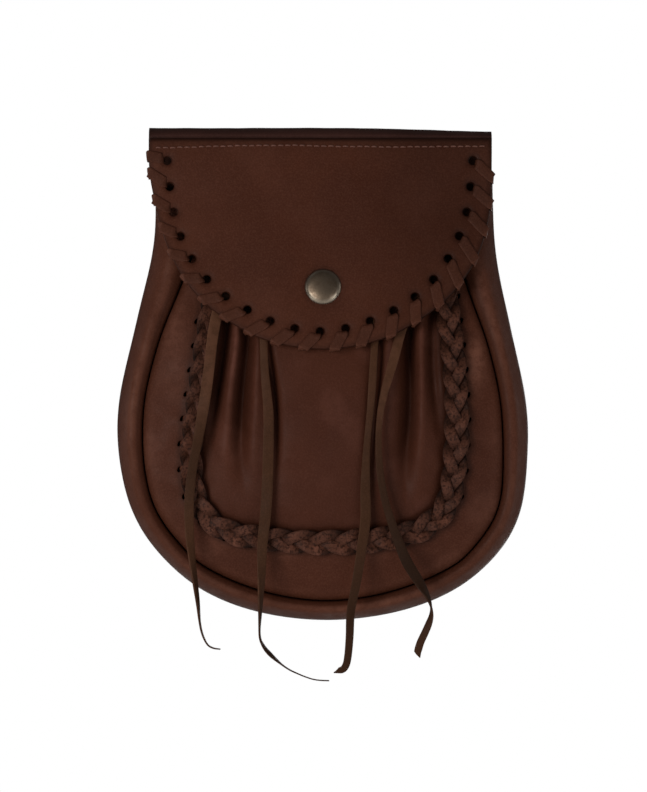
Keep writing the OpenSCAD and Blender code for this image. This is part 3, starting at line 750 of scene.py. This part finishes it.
def make_studio():
    """Pale floor, white surroundings and soft lights, the strongest from the upper left."""
    floor_gap, floor_radius_m = 150, 0.7
    scene = bpy.context.scene
    scene.view_settings.view_transform = "Standard"
    world = bpy.data.worlds.new("studio")
    world.use_nodes = True
    scene.world = world
    tree = world.node_tree
    tree.nodes.clear()
    seen, glow = (tree.nodes.new("ShaderNodeBackground") for _ in range(2))
    for node, tone, strength in ((seen, (1, 1, 1, 1), 1.0), (glow, (1, 0.98, 0.96, 1), 0.15)):
        node.inputs["Color"].default_value, node.inputs["Strength"].default_value = tone, strength
    rays, choose = tree.nodes.new("ShaderNodeLightPath"), tree.nodes.new("ShaderNodeMixShader")
    out = tree.nodes.new("ShaderNodeOutputWorld")
    tree.links.new(rays.outputs["Is Camera Ray"], choose.inputs[0])
    tree.links.new(glow.outputs[0], choose.inputs[1])
    tree.links.new(seen.outputs[0], choose.inputs[2])
    tree.links.new(choose.outputs[0], out.inputs["Surface"])
    softbox("key", (-0.5, -0.85, -0.02), size=0.42, power=6.0, tone=(1, 0.97, 0.94))
    softbox("fill", (0.75, -1.0, -0.42), size=0.9, power=5.6)
    softbox("back", (0.1, 1.1, -0.05), size=0.7, power=6)
    softbox("left", (-1.2, 0.22, -0.05), size=0.8, power=3)
    softbox("right", (1.2, 0.22, -0.05), size=0.8, power=4.2)
    work = bmesh.new()
    bmesh.ops.create_circle(work, cap_ends=True, radius=floor_radius_m, segments=96)
    mesh = bpy.data.meshes.new("floor")
    work.to_mesh(mesh)
    work.free()
    floor = bpy.data.objects.new("floor", mesh)
    floor.location = (0, 0, (LOWEST_Z - floor_gap) * MM)
    mesh.materials.append(studio_floor("floor"))
    scene.collection.objects.link(floor)


# Pieces of the pouch

def flat_hints(line, twist):
    """Directions of a lace's width: flat to the front, turned about the lace by the twist in degrees."""
    flat = np.cross(ahead_of(line), [0, 1, 0])
    size = np.linalg.norm(flat, axis=1)[:, None]
    turn = np.radians(twist)[:, None]
    return flat * np.cos(turn) + np.array([0, 1, 0]) * size * np.sin(turn)


def make_tail(number):
    """One hanging thong, with a slight sway in its twist and width and a slanted cut at its end."""
    sides, cut_length, narrowest = 18, 2.4, 0.08
    route = np.array(TAIL_ROUTES[number], float)
    line = spaced(spline(route), 200)
    share = np.linspace(0, 1, len(line))
    twist = profile(TAIL_TWISTS[number], share)
    twist = twist + 7 * np.sin(share * 17 + number * 2) * (1 - smooth(0.6, 0.8, share))
    wide = profile(TAIL_WIDTHS[number], share) + 0.05 * np.sin(share * 23 + number)
    hints = flat_hints(line, twist)
    cut_share = cut_length / lengths(line)[-1]
    trim = (1 - narrowest) * np.clip((share - 1 + cut_share) / cut_share, 0, 1)
    line = line + unit(hints) * (TAIL_CUTS[number] * trim * wide * LACE_W / 2)[:, None]
    places, faces = swept(line, hints, lace_section(LACE_W, LACE_T, sides, 0.5), wide * (1 - trim),
                          0.85 - profile(TAIL_THINS[number], share))
    piece = make(f"thong_{number + 1}", places, faces, THONG, "thong", "pouch", [f"tail_{number + 1}"])
    edge = np.abs(np.cos(around_rings(sides, len(line)))) > 0.9
    pale = TAIL_PALES[number] * (1 - smooth(0.3, 0.45, share))
    # Painted shade along the thong from its table; its edges are painted paler as highlights, its upper part
    # paler in tone.
    paint(piece, dark=np.repeat(profile(TAIL_DARKS[number], share), sides),
          worn=np.where(edge, 0.45, 0.06) + np.repeat(pale, sides))


def make_back_panel():
    """The flat rear sheet and the thread along its seam, which starts below the corners."""
    inset, seam_inset, seam_top, across = 1.5, 4.5, 24, 70
    line = beside(spaced(spline(mirrored(SILHOUETTE_HALF)), 220), -inset)
    top_drop = TOP_Z - box_mm("back_panel")[1][2]
    line = line[line[:, 1] > top_drop + 0.5]
    corners = np.array([[line[-1][0], top_drop], [line[0][0], top_drop]])
    line = np.vstack([line, spaced(corners, across)])

    def surface(p, below):
        sag = 0.25 * wander(p, 60, 5) * smooth(60, 110, p[:, 1])
        places = place(p, HIDE_T - below)
        places[:, 1] = BACK_REAR_Y - below - np.abs(sag)
        return places

    piece, p, below = panel("back_panel_leather", line, surface, HIDE_T, 2.2, HIDE, "hide", "pouch",
                            ["back_panel"])
    edge = nearest(p, line)[0]
    # Darker along the edge, and painted shade in the top corners under the flap, on the face towards the
    # front.
    corner_shade = np.exp(-((np.abs(p[:, 0]) - 62) ** 2 + (p[:, 1] - 14) ** 2) / 30) * (below > HIDE_T / 2)
    paint(piece, dark=0.75 * fade(edge, 1.2) + corner_shade, worn=0.16 * smooth(0.1, 1, wander(p, 45, 8)))
    seam = beside(line[:-across - 1], -seam_inset)
    seam = seam[seam[:, 1] > seam_top]
    rear = place(seam, np.zeros(len(seam)))
    rear[:, 1] = BACK_REAR_Y + 0.1
    make("back_seam_stitches", *stitches(rear, REARWARD, seed=4), THREAD, "thread", "pouch")


def make_gusset():
    """Side and bottom strip: it rises out of the groove at the front seam, rolls round and meets the back."""
    stations, first, last, per_station = 48, 2, 46, 5
    section = spline([[0, 1, -1.5], [0.03, 1, 0.1], [0.12, 1, 1.2], [0.3, 1, 2.1], [0.55, 1, 1.5],
                      [0.8, 0.86, 0.4], [0.95, 0.68, 0.1], [1, 0.5, 0], [0.975, 0.25, 0], [0.86, 0, 0.1]], 4)
    outer = spaced(spline(mirrored(SILHOUETTE_HALF)), stations * per_station)
    inner = spaced(spline(mirrored(SEAM_HALF)), stations * per_station)
    rings, shares = [], []
    for i in range(first * per_station, last * per_station + 1):
        start, end = inner[i], outer[i]
        p = start + (end - start) * section[:, :1]
        depth = profile(SEAM_DEPTH, np.full(len(p), start[1])) * section[:, 1] + section[:, 2]
        crease = 0.22 * math.sin(i * 0.83) * math.sin(i * 0.31 + 1) * np.sin(section[:, 0] * math.pi)
        line = place(p, depth + crease)
        line[:, 0] = p[:, 0] + profile(SWAY, np.full(len(p), start[1]))
        right = np.array([(end - start)[0], 0, -(end - start)[1]])
        right /= np.linalg.norm(right)
        ahead = ahead_of(line)
        out = unit(np.array([0, -1, 0]) * (ahead @ right)[:, None] + right * ahead[:, 1:2])
        under = line - out * HIDE_T
        rings.append(np.vstack([line, under[::-1]]))
        shares.append(np.concatenate([section[:, 0], section[::-1, 0]]))
    n, m = len(rings[0]), len(rings)
    piece = make("gusset_leather", np.vstack(rings), tube_of_sheet(m, n), HIDE, "hide", "pouch", ["gusset"])
    share, at = np.concatenate(shares), np.tile(np.arange(n), m)
    outside = at < n // 2
    station = np.repeat(np.arange(m), n)
    # Painted shade in the groove at the front seam, along the back edge and where the roll turns away; the
    # middle of the roll is painted paler, unevenly along it, as a highlight.
    groove = fade(share, 0.05) * (at < 8)
    rear = (at > n // 2 - 4) & outside
    shaded = 0.3 * outside * (smooth(0.8, 1, share) + bump(share, 0.16, 0.09))
    uneven = 0.32 + 0.3 * np.sin(station * 0.12) * np.sin(station * 0.047 + 2)
    paint(piece, dark=0.55 * groove + 0.5 * rear + shaded, worn=bump(share, 0.42, 0.2) * outside * uneven)


def slit_places():
    """Where the braid's stitches enter the frame: [x, drop] points and the braid's direction there."""
    count, first = 38, 4
    line = spaced(spline(BRAID_POINTS), count)
    out = 5 - 1.3 * smooth(145, 158, line[:, 1])
    return beside(line, out[:, None])[first:-first], ahead_of(line)[first:-first]


def make_front_frame():
    """The U-shaped sheet between the seam and the braid, with a slanted slit for each stitch of the braid."""
    seam_gap, slit_turn, slit_long, slit_wide = 0.45, math.radians(24), 1.2, 0.65
    outer = beside(spaced(spline(mirrored(SEAM_HALF)), 260), -seam_gap)
    inner = spaced(spline(BRAID_POINTS), 230)
    right, left = (spaced(np.array(ends), 5)[1:-1] for ends in ((outer[-1], inner[-1]), (inner[0], outer[0])))
    outline = np.vstack([outer, right, inner[::-1], left])
    slits = []
    c, s = math.cos(slit_turn), math.sin(slit_turn)
    around = np.arange(12) * math.pi / 6
    for middle, (x, y) in zip(*slit_places()):
        way, side = np.array([x * c - y * s, x * s + y * c]), np.array([-x * s - y * c, x * c - y * s])
        slits.append(middle + way * slit_long * np.cos(around)[:, None]
                     + side * slit_wide * np.sin(around)[:, None])

    def surface(p, below):
        edge = nearest(p, outer)[0]
        roll = -0.9 * fade(edge, 1.3)
        puff = 0.3 * wander(p, 38, 11) * smooth(2, 9, edge)
        return place(p, front_depth(p) - below + roll + puff)

    piece, p, below = panel("front_frame_leather", outline, surface, HIDE_T, 1.25, HIDE, "hide", "pouch",
                            ["front_frame"], slits, 0.25)
    seam, braid = nearest(p, outer)[0], nearest(p, inner)[0]
    cuts = nearest(p, np.vstack(slits))[0]
    # Painted shade along the seam's groove, along the braid's outer edge and round the slits, and on the inner
    # face.
    shaded = 0.45 * fade(seam, 0.6) + 0.4 * bump(braid, 4.9, 1.0) + 0.3 * fade(cuts, 0.6)
    scuffs = 1.25 * spot(p, 61.5, 96, 3.4, 10) + 0.45 * spot(p, -60, 84, 5, 13)
    lightened = 0.2 * smooth(0.2, 1.0, wander(p, 30, 21)) + 0.12 * bump(seam, 3.2, 1.3)
    paint(piece, dark=shaded + 0.9 * (below > HIDE_T / 2), worn=scuffs + lightened)


def make_pleated_front():
    """The soft sheet in the frame's window: tucked under its edge, then level with it, pleated each side."""
    tuck, under_frame = 3, 0.4
    edge = beside(spaced(spline(BRAID_POINTS), 260), tuck)
    top = spaced(np.array([edge[-1], edge[0]]), 90)[1:-1]
    outline = np.vstack([edge, top])

    def surface(p, below):
        inner = nearest(p, edge)[0] - tuck - 1
        raised = (HIDE_T - under_frame) * smooth(0, 6, inner)
        soft = 0.3 * wander(p, 26, 17) * smooth(0, 8, inner)
        folds = pleats(p) * smooth(-1.5, 5, inner)
        return place(p, front_depth(p) - HIDE_T - under_frame + raised + folds + soft - below)

    piece, p, below = panel("pleated_front_leather", outline, surface, SOFT_T, 1.0, SOFT_HIDE, "soft_hide",
                            "pouch", ["pleated_front"], edge_r=0.3)
    # Painted shade in the valleys and along the braid's inner edge; painted highlights on the ridges,
    # strongest on the left ridge, with some random paler patches.
    deep = sum(1.3 * fold(v, p, VALLEY_SHARPNESS) * min(1, v[1] / 6) for v in VALLEYS)
    high = sum(fold(r, p, RIDGE_SHARPNESS) for r in RIDGES)
    inner = nearest(p, edge)[0] - tuck
    lightened = 0.35 * high + 0.6 * spot(p, -36, 90, 3.5, 14) * high + 0.25 * smooth(0.3, 1.1, wander(p, 24, 31))
    paint(piece, dark=0.4 * deep + 0.65 * fade(np.abs(inner - 4.4), 1.4), worn=lightened)


def make_braid():
    """Three flat laces that swing across the window's edge and rise over each other, a little unevenly."""
    pitch, lift, weave, width, thick, sides = 31.5, 2.1, 1.0, 4.5, 1.05, 16
    line = spaced(spline(BRAID_POINTS), 900)
    swing = 3 - 0.5 * (1 - smooth(-46, -34, line[:, 0]))
    turns = np.linspace(0, lengths(line)[-1] / pitch, len(line)) * 2 * math.pi
    for number in range(3):
        turn = turns + number * 2 * math.pi / 3
        q = beside(line, (swing * np.sin(turn))[:, None])
        path = place(q, front_depth(q) + lift + weave * np.sin(2 * turn))
        path[:, 1] += 0.2 * wander(path, 11, 61 + number)
        wide = 1 + 0.1 * np.sin(turn * 0.37 + number) * np.sin(turn * 0.83)
        section = lace_section(width, thick, sides, 0.55)
        places, faces = swept(path, flat_hints(path, 16 * np.sin(turn)), section, wide)
        piece = make(f"braid_lace_{number + 1}", places, faces, BRAID_LACE, "lace", "pouch",
                     [f"braid_strand_{number + 1}"])
        # Painted shade where a lace dips under the others and along its edges; paler on its raised crests, and
        # painted glints at its outer bends near the bottom.
        edge = np.abs(np.cos(around_rings(sides, len(path)))) > 0.7
        height = np.repeat(np.sin(2 * turn), sides)
        bend = np.repeat(smooth(0.8, 1, np.sin(turn)) * smooth(150, 160, line[:, 1]), sides)
        paint(piece, dark=smooth(0.3, -1, height) * 0.6 + 0.25 * edge,
              worn=np.clip(height, 0, 1) * 0.35 + 0.6 * bend)


def make_braid_anchors():
    """Short bits of lace that come out from under the braid and dive into the frame's slits."""
    shape = [(-3.6, -2.0, 1.6), (-2.6, -1.4, 2.2), (-1.4, -0.8, 1.7), (-0.8, -0.4, 0.7), (-0.6, -0.2, -0.6),
             (-0.5, -0.2, -1.6)]
    parts = []
    for middle, ahead in zip(*slit_places()):
        out = np.array([-ahead[1], ahead[0]])
        flat = np.array([middle + out * a + ahead * b for a, b, _ in shape])
        path = spline(place(flat, front_depth(flat) + np.array([h for _, _, h in shape])), 3)
        side = place(np.array([middle + ahead, middle]), np.zeros(2))
        parts.append(swept(path, side[0] - side[1], lace_section(1.5, 0.6, 10)))
    places, faces = joined(parts)
    piece = make("braid_anchor_bits", places, faces, LACE, "lace", "pouch", ["braid_anchor_lace"])
    paint(piece, worn=0.3)


def make_tie(name, from_x, to_x):
    """Thong drawn across a bundle of pleats, with a small wrapped knot at each end where its tails begin."""
    drop, off = 64, 0.3
    x = np.linspace(from_x, to_x, 40)
    p = np.stack([x, drop + 0.7 * np.sin((x - from_x) * 0.5)], axis=1)
    path = place(p, front_depth(p) + LACE_T / 2 + off + 0.45 * pleats(p).clip(-1.2, 2))
    angle = np.linspace(-100, 130, 16) * math.pi / 180
    loop = np.stack([0 * angle, -1.5 * np.cos(angle) + 0.6, 2.9 * np.sin(angle)], axis=1)
    parts = [swept(path, [0, 0, 1], lace_section(LACE_W, LACE_T))]
    parts += [swept(path[end] + loop, [1, 0, 0], lace_section(LACE_W * 0.9, LACE_T)) for end in (0, -1)]
    places, faces = joined(parts)
    piece = make(f"{name}_thong", places, faces, THONG, "thong", "pouch", [name])
    paint(piece, worn=0.3)


def make_flap():
    """The flap's sheet. Returns the middles of its lacing holes and its edge without the straight top."""
    edge = spaced(spline(mirrored(FLAP_HALF)), 260)
    edge[:, 0] += profile(SWAY, edge[:, 1])
    edge[:, 1] = np.maximum(edge[:, 1], FLAP_TOP_DROP + FLAP_T * math.sin(FLAP_TILT))
    outline = np.vstack([edge, spaced(np.array([edge[-1], edge[0]]), 110)[1:-1]])
    rows = spaced(spline(HOLE_POINTS), 20)
    around = np.arange(18) * math.pi / 9
    circle = np.stack([np.cos(around), np.sin(around)], axis=1)
    holes = [middle + circle * HOLE_D / 2 for middle in rows]
    rims = np.vstack(holes)

    def surface(p, below):
        press = -0.35 * fade(nearest(p, rims)[0], 0.9) * (below < FLAP_T / 2)
        return on_flap(p, FLAP_T - below + press)

    piece, p, below = panel("flap_leather", outline, surface, FLAP_T, 1.5, HIDE, "hide", "flap", ["flap"],
                            holes)
    cut_edge = nearest(p, outline)[0]
    from_snap = np.hypot(p[:, 0], p[:, 1] - SNAP_DROP)
    below_top = p[:, 1] - FLAP_TOP_DROP
    # Painted shade round the holes, along the cut edge, in a line under the top edge, round the snap, along
    # the thread row, and over the right side, which faces away from the light.
    edges = 0.75 * fade(nearest(p, rims)[0], 0.6) + 0.7 * fade(cut_edge, 0.9) + 1.1 * bump(below_top, 0, 1.9)
    crease_shade = 0.45 * fade(np.abs(from_snap - 7.5), 0.8) + 0.25 * fade(np.abs(below_top - FLAP_ROW_DROP), 0.8)
    paint(piece, dark=edges + crease_shade + 0.3 * smooth(5, 48, p[:, 0]),
          worn=0.09 * smooth(0.2, 1.1, wander(p, 40, 41)) + 0.12 * bump(cut_edge, 2.2, 1.4))
    return rows, edge


def make_flap_lace(rows, edge):
    """Whip stitch: out of a hole, slanted back over the edge, and behind the flap to the hole before."""
    width, thick, sides, slant, first_slant = 4.5, 0.75, 12, 6.2, 2.0
    off = thick / 2 + 0.03
    turn_r = FLAP_T / 2 + off
    slants = np.append([first_slant], np.full(len(rows) - 1, slant))
    ahead = ahead_of(rows)
    rims = edge[nearest(rows + quarter_turned(ahead) * 5.5 - ahead * slants[:, None], edge)[1]]
    parts = []
    for i, (hole, rim) in enumerate(zip(rows, rims)):
        reach = np.linalg.norm(rim - hole)
        over = (rim - hole) / reach
        behind = hole - ahead[i] * (slants[i] + 2.2 * (i > 0))
        stops = [(hole + over * 1.7, FLAP_T * 0.3), (hole + over * 1.95, FLAP_T * 0.9)]
        stops += [(hole + over * 2.8, FLAP_T + off)]
        stops += [(hole + over * reach * a, FLAP_T + off) for a in (0.5, 0.75)]
        stops += [(rim + over * (turn_r * 0.42) * math.cos(a), FLAP_T / 2 + turn_r * math.sin(a))
                  for a in np.radians([90, 55, 20, -20, -55, -90])]
        stops += [(rim + (behind - rim) * a, -off) for a in (0.45, 0.9)]
        line = spline([[*p, h] for p, h in stops], 4)
        side = on_flap(np.array([hole + ahead[i], hole]), np.zeros(2))
        step = np.arange(len(line))
        wide = 0.55 + 0.45 * smooth(0, 9, step) - 0.2 * bump(step, 30, 9)
        parts.append(swept(on_flap(line[:, :2], line[:, 2]), side[0] - side[1],
                           lace_section(width, thick, sides, 0.5), wide))
    places, faces = joined(parts)
    piece = make("flap_lacing", places, faces, LACE, "lace", "flap", ["flap_lace"])

    def each_stitch(values, ends):
        return np.tile(np.append(values, [ends, ends]), len(rows))

    count = len(parts[0][0]) // sides
    ring, edges = np.repeat(np.arange(count), sides), np.abs(np.cos(around_rings(sides, count))) > 0.9
    hole_places = on_flap(rows, np.zeros(len(rows)))
    near_hole = nearest(places[:, [0, 2]], hole_places[:, [0, 2]])[0]
    # Painted shade where the lace goes into its hole and where it shows through a hole; painted highlights
    # along its edges and where it wraps over the flap's edge.
    behind_hole = each_stitch(smooth(38, 42, ring), 1) * np.exp(-(near_hole / 2.4) ** 4)
    paint(piece, dark=each_stitch(0.8 * fade(ring, 3), 0) + behind_hole,
          worn=each_stitch(0.04 + 0.5 * edges + 0.5 * bump(ring, 25, 4), 0))


def make_flap_stitches():
    x = np.linspace(STRIP_LEFT + 2.5, STRIP_RIGHT - 2.5, 60)
    drop = FLAP_TOP_DROP + FLAP_ROW_DROP + 0.3 * np.sin(x * 0.07) - 0.3 * np.cos(x * 0.031)
    line, above = (on_flap(np.stack([x, drop], axis=1), np.full(60, h)) for h in (FLAP_T, FLAP_T + 1))
    thread = stitches(line, above - line, seed=2, pitch=2.9, length=1.8)
    make("flap_thread", *thread, THREAD, "thread", "flap", ["flap_stitching"])


def strip_path():
    """Outer face of the rolled strip in the YZ plane, from the rear tab over the mouth to behind the flap."""
    middle_y = (REAR_FOLD[1] + FRONT_FOLD[1]) / 2
    reach = (REAR_FOLD[1] - FRONT_FOLD[1]) / 2 + 0.05
    rise = TOP_Z - REAR_FOLD[2]
    tab_heights, tab_depths = (38.6, 40.5, 42.3), (-0.2, 1.2, 3, 6.2)
    points = [[BACK_REAR_Y + STRIP_T + 0.1, z] for z in tab_heights]
    points += [[middle_y + reach * math.cos(a), REAR_FOLD[2] + rise * math.sin(a)]
               for a in np.radians([10, 30, 50, 70, 90, 110, 130, 148, 163])]
    slope = math.tan(FLAP_TILT)
    points += [[FRONT_FOLD[1] + 0.35 - d * slope, FRONT_FOLD[2] - d] for d in tab_depths]
    return spline(points, 5)


def make_strip():
    """The rolled strip, in two pieces that meet along its top."""
    path = strip_path()
    inner = path + quarter_turned(ahead_of(path)) * STRIP_T
    top = int(np.argmax(path[:, 1]))
    columns = 110
    x = np.linspace(STRIP_LEFT, STRIP_RIGHT, columns)
    halves = (
        ("strip_rear_leather", slice(None, top + 1), ["strip_rear_tab", "strip_roof"],
         ("pouch", "hinge_strip"), REAR_FOLD, -1.2, 2.4),
        ("strip_front_leather", slice(top, None), ["strip_front_tab"],
         ("hinge_strip", "flap"), FRONT_FOLD, 2.2, -0.6),
    )
    for name, part, replaced, bodies, bend, start, end in halves:
        ring = np.vstack([path[part], inner[part][::-1]])
        n = len(ring)
        places = np.zeros((columns, n, 3))
        places[:, :, 0] = x[:, None]
        places[:, :, 1:] = ring[None]
        over = smooth(REAR_FOLD[2] - 1, TOP_Z, ring[:, 1])
        slack = 1.4 * smooth(8, STRIP_RIGHT, x)
        places[:, :, 2] -= slack[:, None] * over[None]
        flat = np.stack([np.repeat(x, n), np.tile(np.arange(n), columns) * 0.8], axis=1)
        places[:, :, 2] += (0.12 * wander(flat, 22, 51)).reshape(columns, n) * over[None]
        piece = make(name, places.reshape(-1, 3), tube_of_sheet(columns, n), STRIP_HIDE_SHADED, "strip_hide")
        ends = np.minimum(flat[:, 0] - STRIP_LEFT, STRIP_RIGHT - flat[:, 0])
        crest = np.tile(bump(ring[:, 1], TOP_Z, 1.1), columns)
        paint(piece, dark=0.5 * fade(ends, 1), worn=0.5 * crest * (0.6 + 0.4 * wander(flat, 30, 52)))
        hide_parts(*replaced)
        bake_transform(piece)


def row_behind(from_x, to_x, thickness, z):
    """A level line for thread, just off the rear face of leather that lies on the back panel."""
    x = np.linspace(from_x, to_x, 50)
    return np.stack([x, np.full(50, BACK_REAR_Y + thickness + 0.15), np.full(50, z)], axis=1)


def make_strip_stitches():
    low, high = box_mm("strip_stitching")
    line = row_behind(low[0] - 0.5, high[0] + 0.5, STRIP_T, (low[2] + high[2]) / 2)
    make("strip_thread", *stitches(line, REARWARD, seed=6), THREAD, "thread", "pouch", ["strip_stitching"])


def make_belt_loops():
    """Straps with two stitched feet, standing off the back for the belt."""
    foot_z, end_z, out_y = 27, LOOP_HIGH[2], LOOP_HIGH[1] - HIDE_T / 2
    thread_rows, thread_inset = (29.6, 34.4), 2.5
    foot_y = BACK_REAR_Y + HIDE_T / 2 + 0.12
    half = [[foot_y, end_z], [foot_y, foot_z + 4], [foot_y + 0.1, foot_z - 0.4], [foot_y + 2.6, foot_z - 2.6],
            [out_y - 0.6, foot_z - 4.6], [out_y, foot_z - 8], [out_y, foot_z - 16], [out_y, 0]]
    path = spline(half + [[y, -z] for y, z in half[-2::-1]], 6)
    section = slab_section(LOOP_W, HIDE_T, 0.7, 12)
    waist = 1 - 0.035 * np.cos(np.linspace(-1, 1, len(path)) * math.pi / 2) ** 2
    threads = []
    for name, x in (("left", -LOOP_X), ("right", LOOP_X)):
        line = np.stack([np.full(len(path), x), path[:, 0], path[:, 1]], axis=1)
        places, faces = swept(line, [1, 0, 0], section, waist)
        piece = make(f"belt_loop_{name}_leather", places, faces, HIDE, "hide", "pouch", [f"belt_loop_{name}"])
        edge = LOOP_W / 2 - np.abs(places[:, 0] - x)
        height = np.abs(places[:, 2])
        paint(piece, dark=0.7 * fade(edge, 0.8) + 0.6 * fade(end_z - height, 0.8),
              worn=0.5 * bump(height, 19, 6) + 0.25 * fade(edge, 2.5))
        from_x, to_x = x - LOOP_W / 2 + thread_inset, x + LOOP_W / 2 - thread_inset
        threads += [stitches(row_behind(from_x, to_x, HIDE_T, side * row), REARWARD, seed=int(row) + side)
                    for side in (-1, 1) for row in thread_rows]
    make("loop_thread", *joined(threads), THREAD, "thread", "pouch", ["loop_stitching"])


def on_snap(places):
    """Moves a turned part from its own axes onto the snap's: its axis along the flap's normal."""
    middle = on_flap(np.array([[0, SNAP_DROP]]), np.zeros(1), drape=False)[0]
    c, s = math.cos(FLAP_TILT), math.sin(FLAP_TILT)
    x, y, z = places.T
    return middle + np.stack([x, y * s - z * c, y * c + z * s], axis=1)


def snap_part(name, body, outline, lift, around=64):
    """A turned part of the snap, and its places before they are moved onto the flap."""
    places, faces = lathe([(r, h + lift) for r, h in outline], around)
    return make(f"{name}_metal", on_snap(places), faces, METAL, "metal", body, [name]), places


def make_snap():
    """The snap's cap and socket on the flap, and its stud and post on the gathered panel."""
    cap = [(0, 2.5), (1.6, 2.47), (3.2, 2.36), (4.4, 2.2), (5.4, 1.95), (6.1, 1.65), (6.6, 1.32), (6.95, 0.98),
           (7.2, 0.66), (7.38, 0.36), (7.45, 0.12), (7.35, -0.08), (7.0, -0.2), (2.2, -0.2), (1.9, -0.4),
           (1.9, -2.4), (0, -2.4)]
    socket = [(0, -0.1), (5.2, -0.1), (5.4, -0.25), (5.4, -0.8), (5.2, -1.0), (4.5, -1.05), (4.3, -1.3),
              (4.2, -2.0), (3.9, -2.35), (3.3, -2.4), (2.8, -2.25), (2.6, -1.9), (2.6, -0.9), (2.3, -0.75),
              (0, -0.7)]
    stud = [(0, 3.0), (1.4, 3.0), (1.9, 2.85), (2.15, 2.5), (2.1, 2.15), (1.8, 1.95), (1.75, 1.2), (2.1, 0.85),
            (3.2, 0.75), (4.6, 0.7), (4.95, 0.5), (5.0, 0.2), (4.85, 0.02), (0, 0)]
    post = [(0, -3.2), (4.7, -3.2), (5.0, -3.0), (5.0, -2.6), (4.7, -2.4), (1.7, -2.35), (1.5, -2.2),
            (1.5, -0.1), (0, -0.1)]
    cap_lift, stud_lift = FLAP_T - 0.62, -4.45
    piece, places = snap_part("snap_cap", "flap", cap, cap_lift, 96)
    radius = np.hypot(places[:, 0], places[:, 1])
    turn = np.arctan2(places[:, 1], places[:, 0])
    # Painted glints on the cap's rim at three angles, painted shade at its outer lip, and its middle slightly
    # darker.
    glints = sum(bump(turn, at, 0.3) for at in (-2.4, -0.75, 2.3))
    paint(piece, dark=0.8 * smooth(7.36, 7.44, radius) + 0.12 * smooth(5, 0, radius),
          worn=smooth(5.6, 6.8, radius) * (0.45 + 0.55 * np.clip(glints, 0, 1)))
    for name, body, outline, lift, paler_share in (("snap_socket", "flap", socket, 0, 0.5),
                                           ("snap_stud", "pouch", stud, stud_lift, 0.5),
                                           ("snap_post", "pouch", post, stud_lift, 0.3)):
        paint(snap_part(name, body, outline, lift)[0], worn=paler_share)


make_camera()
for tail in range(4):
    make_tail(tail)
make_studio()
make_back_panel()
make_gusset()
make_front_frame()
make_pleated_front()
make_braid()
make_braid_anchors()
make_tie("left_tie", -38, -22)
make_tie("right_tie", 22, 42)
make_flap_lace(*make_flap())
make_flap_stitches()
make_strip()
make_strip_stitches()
make_belt_loops()
make_snap()
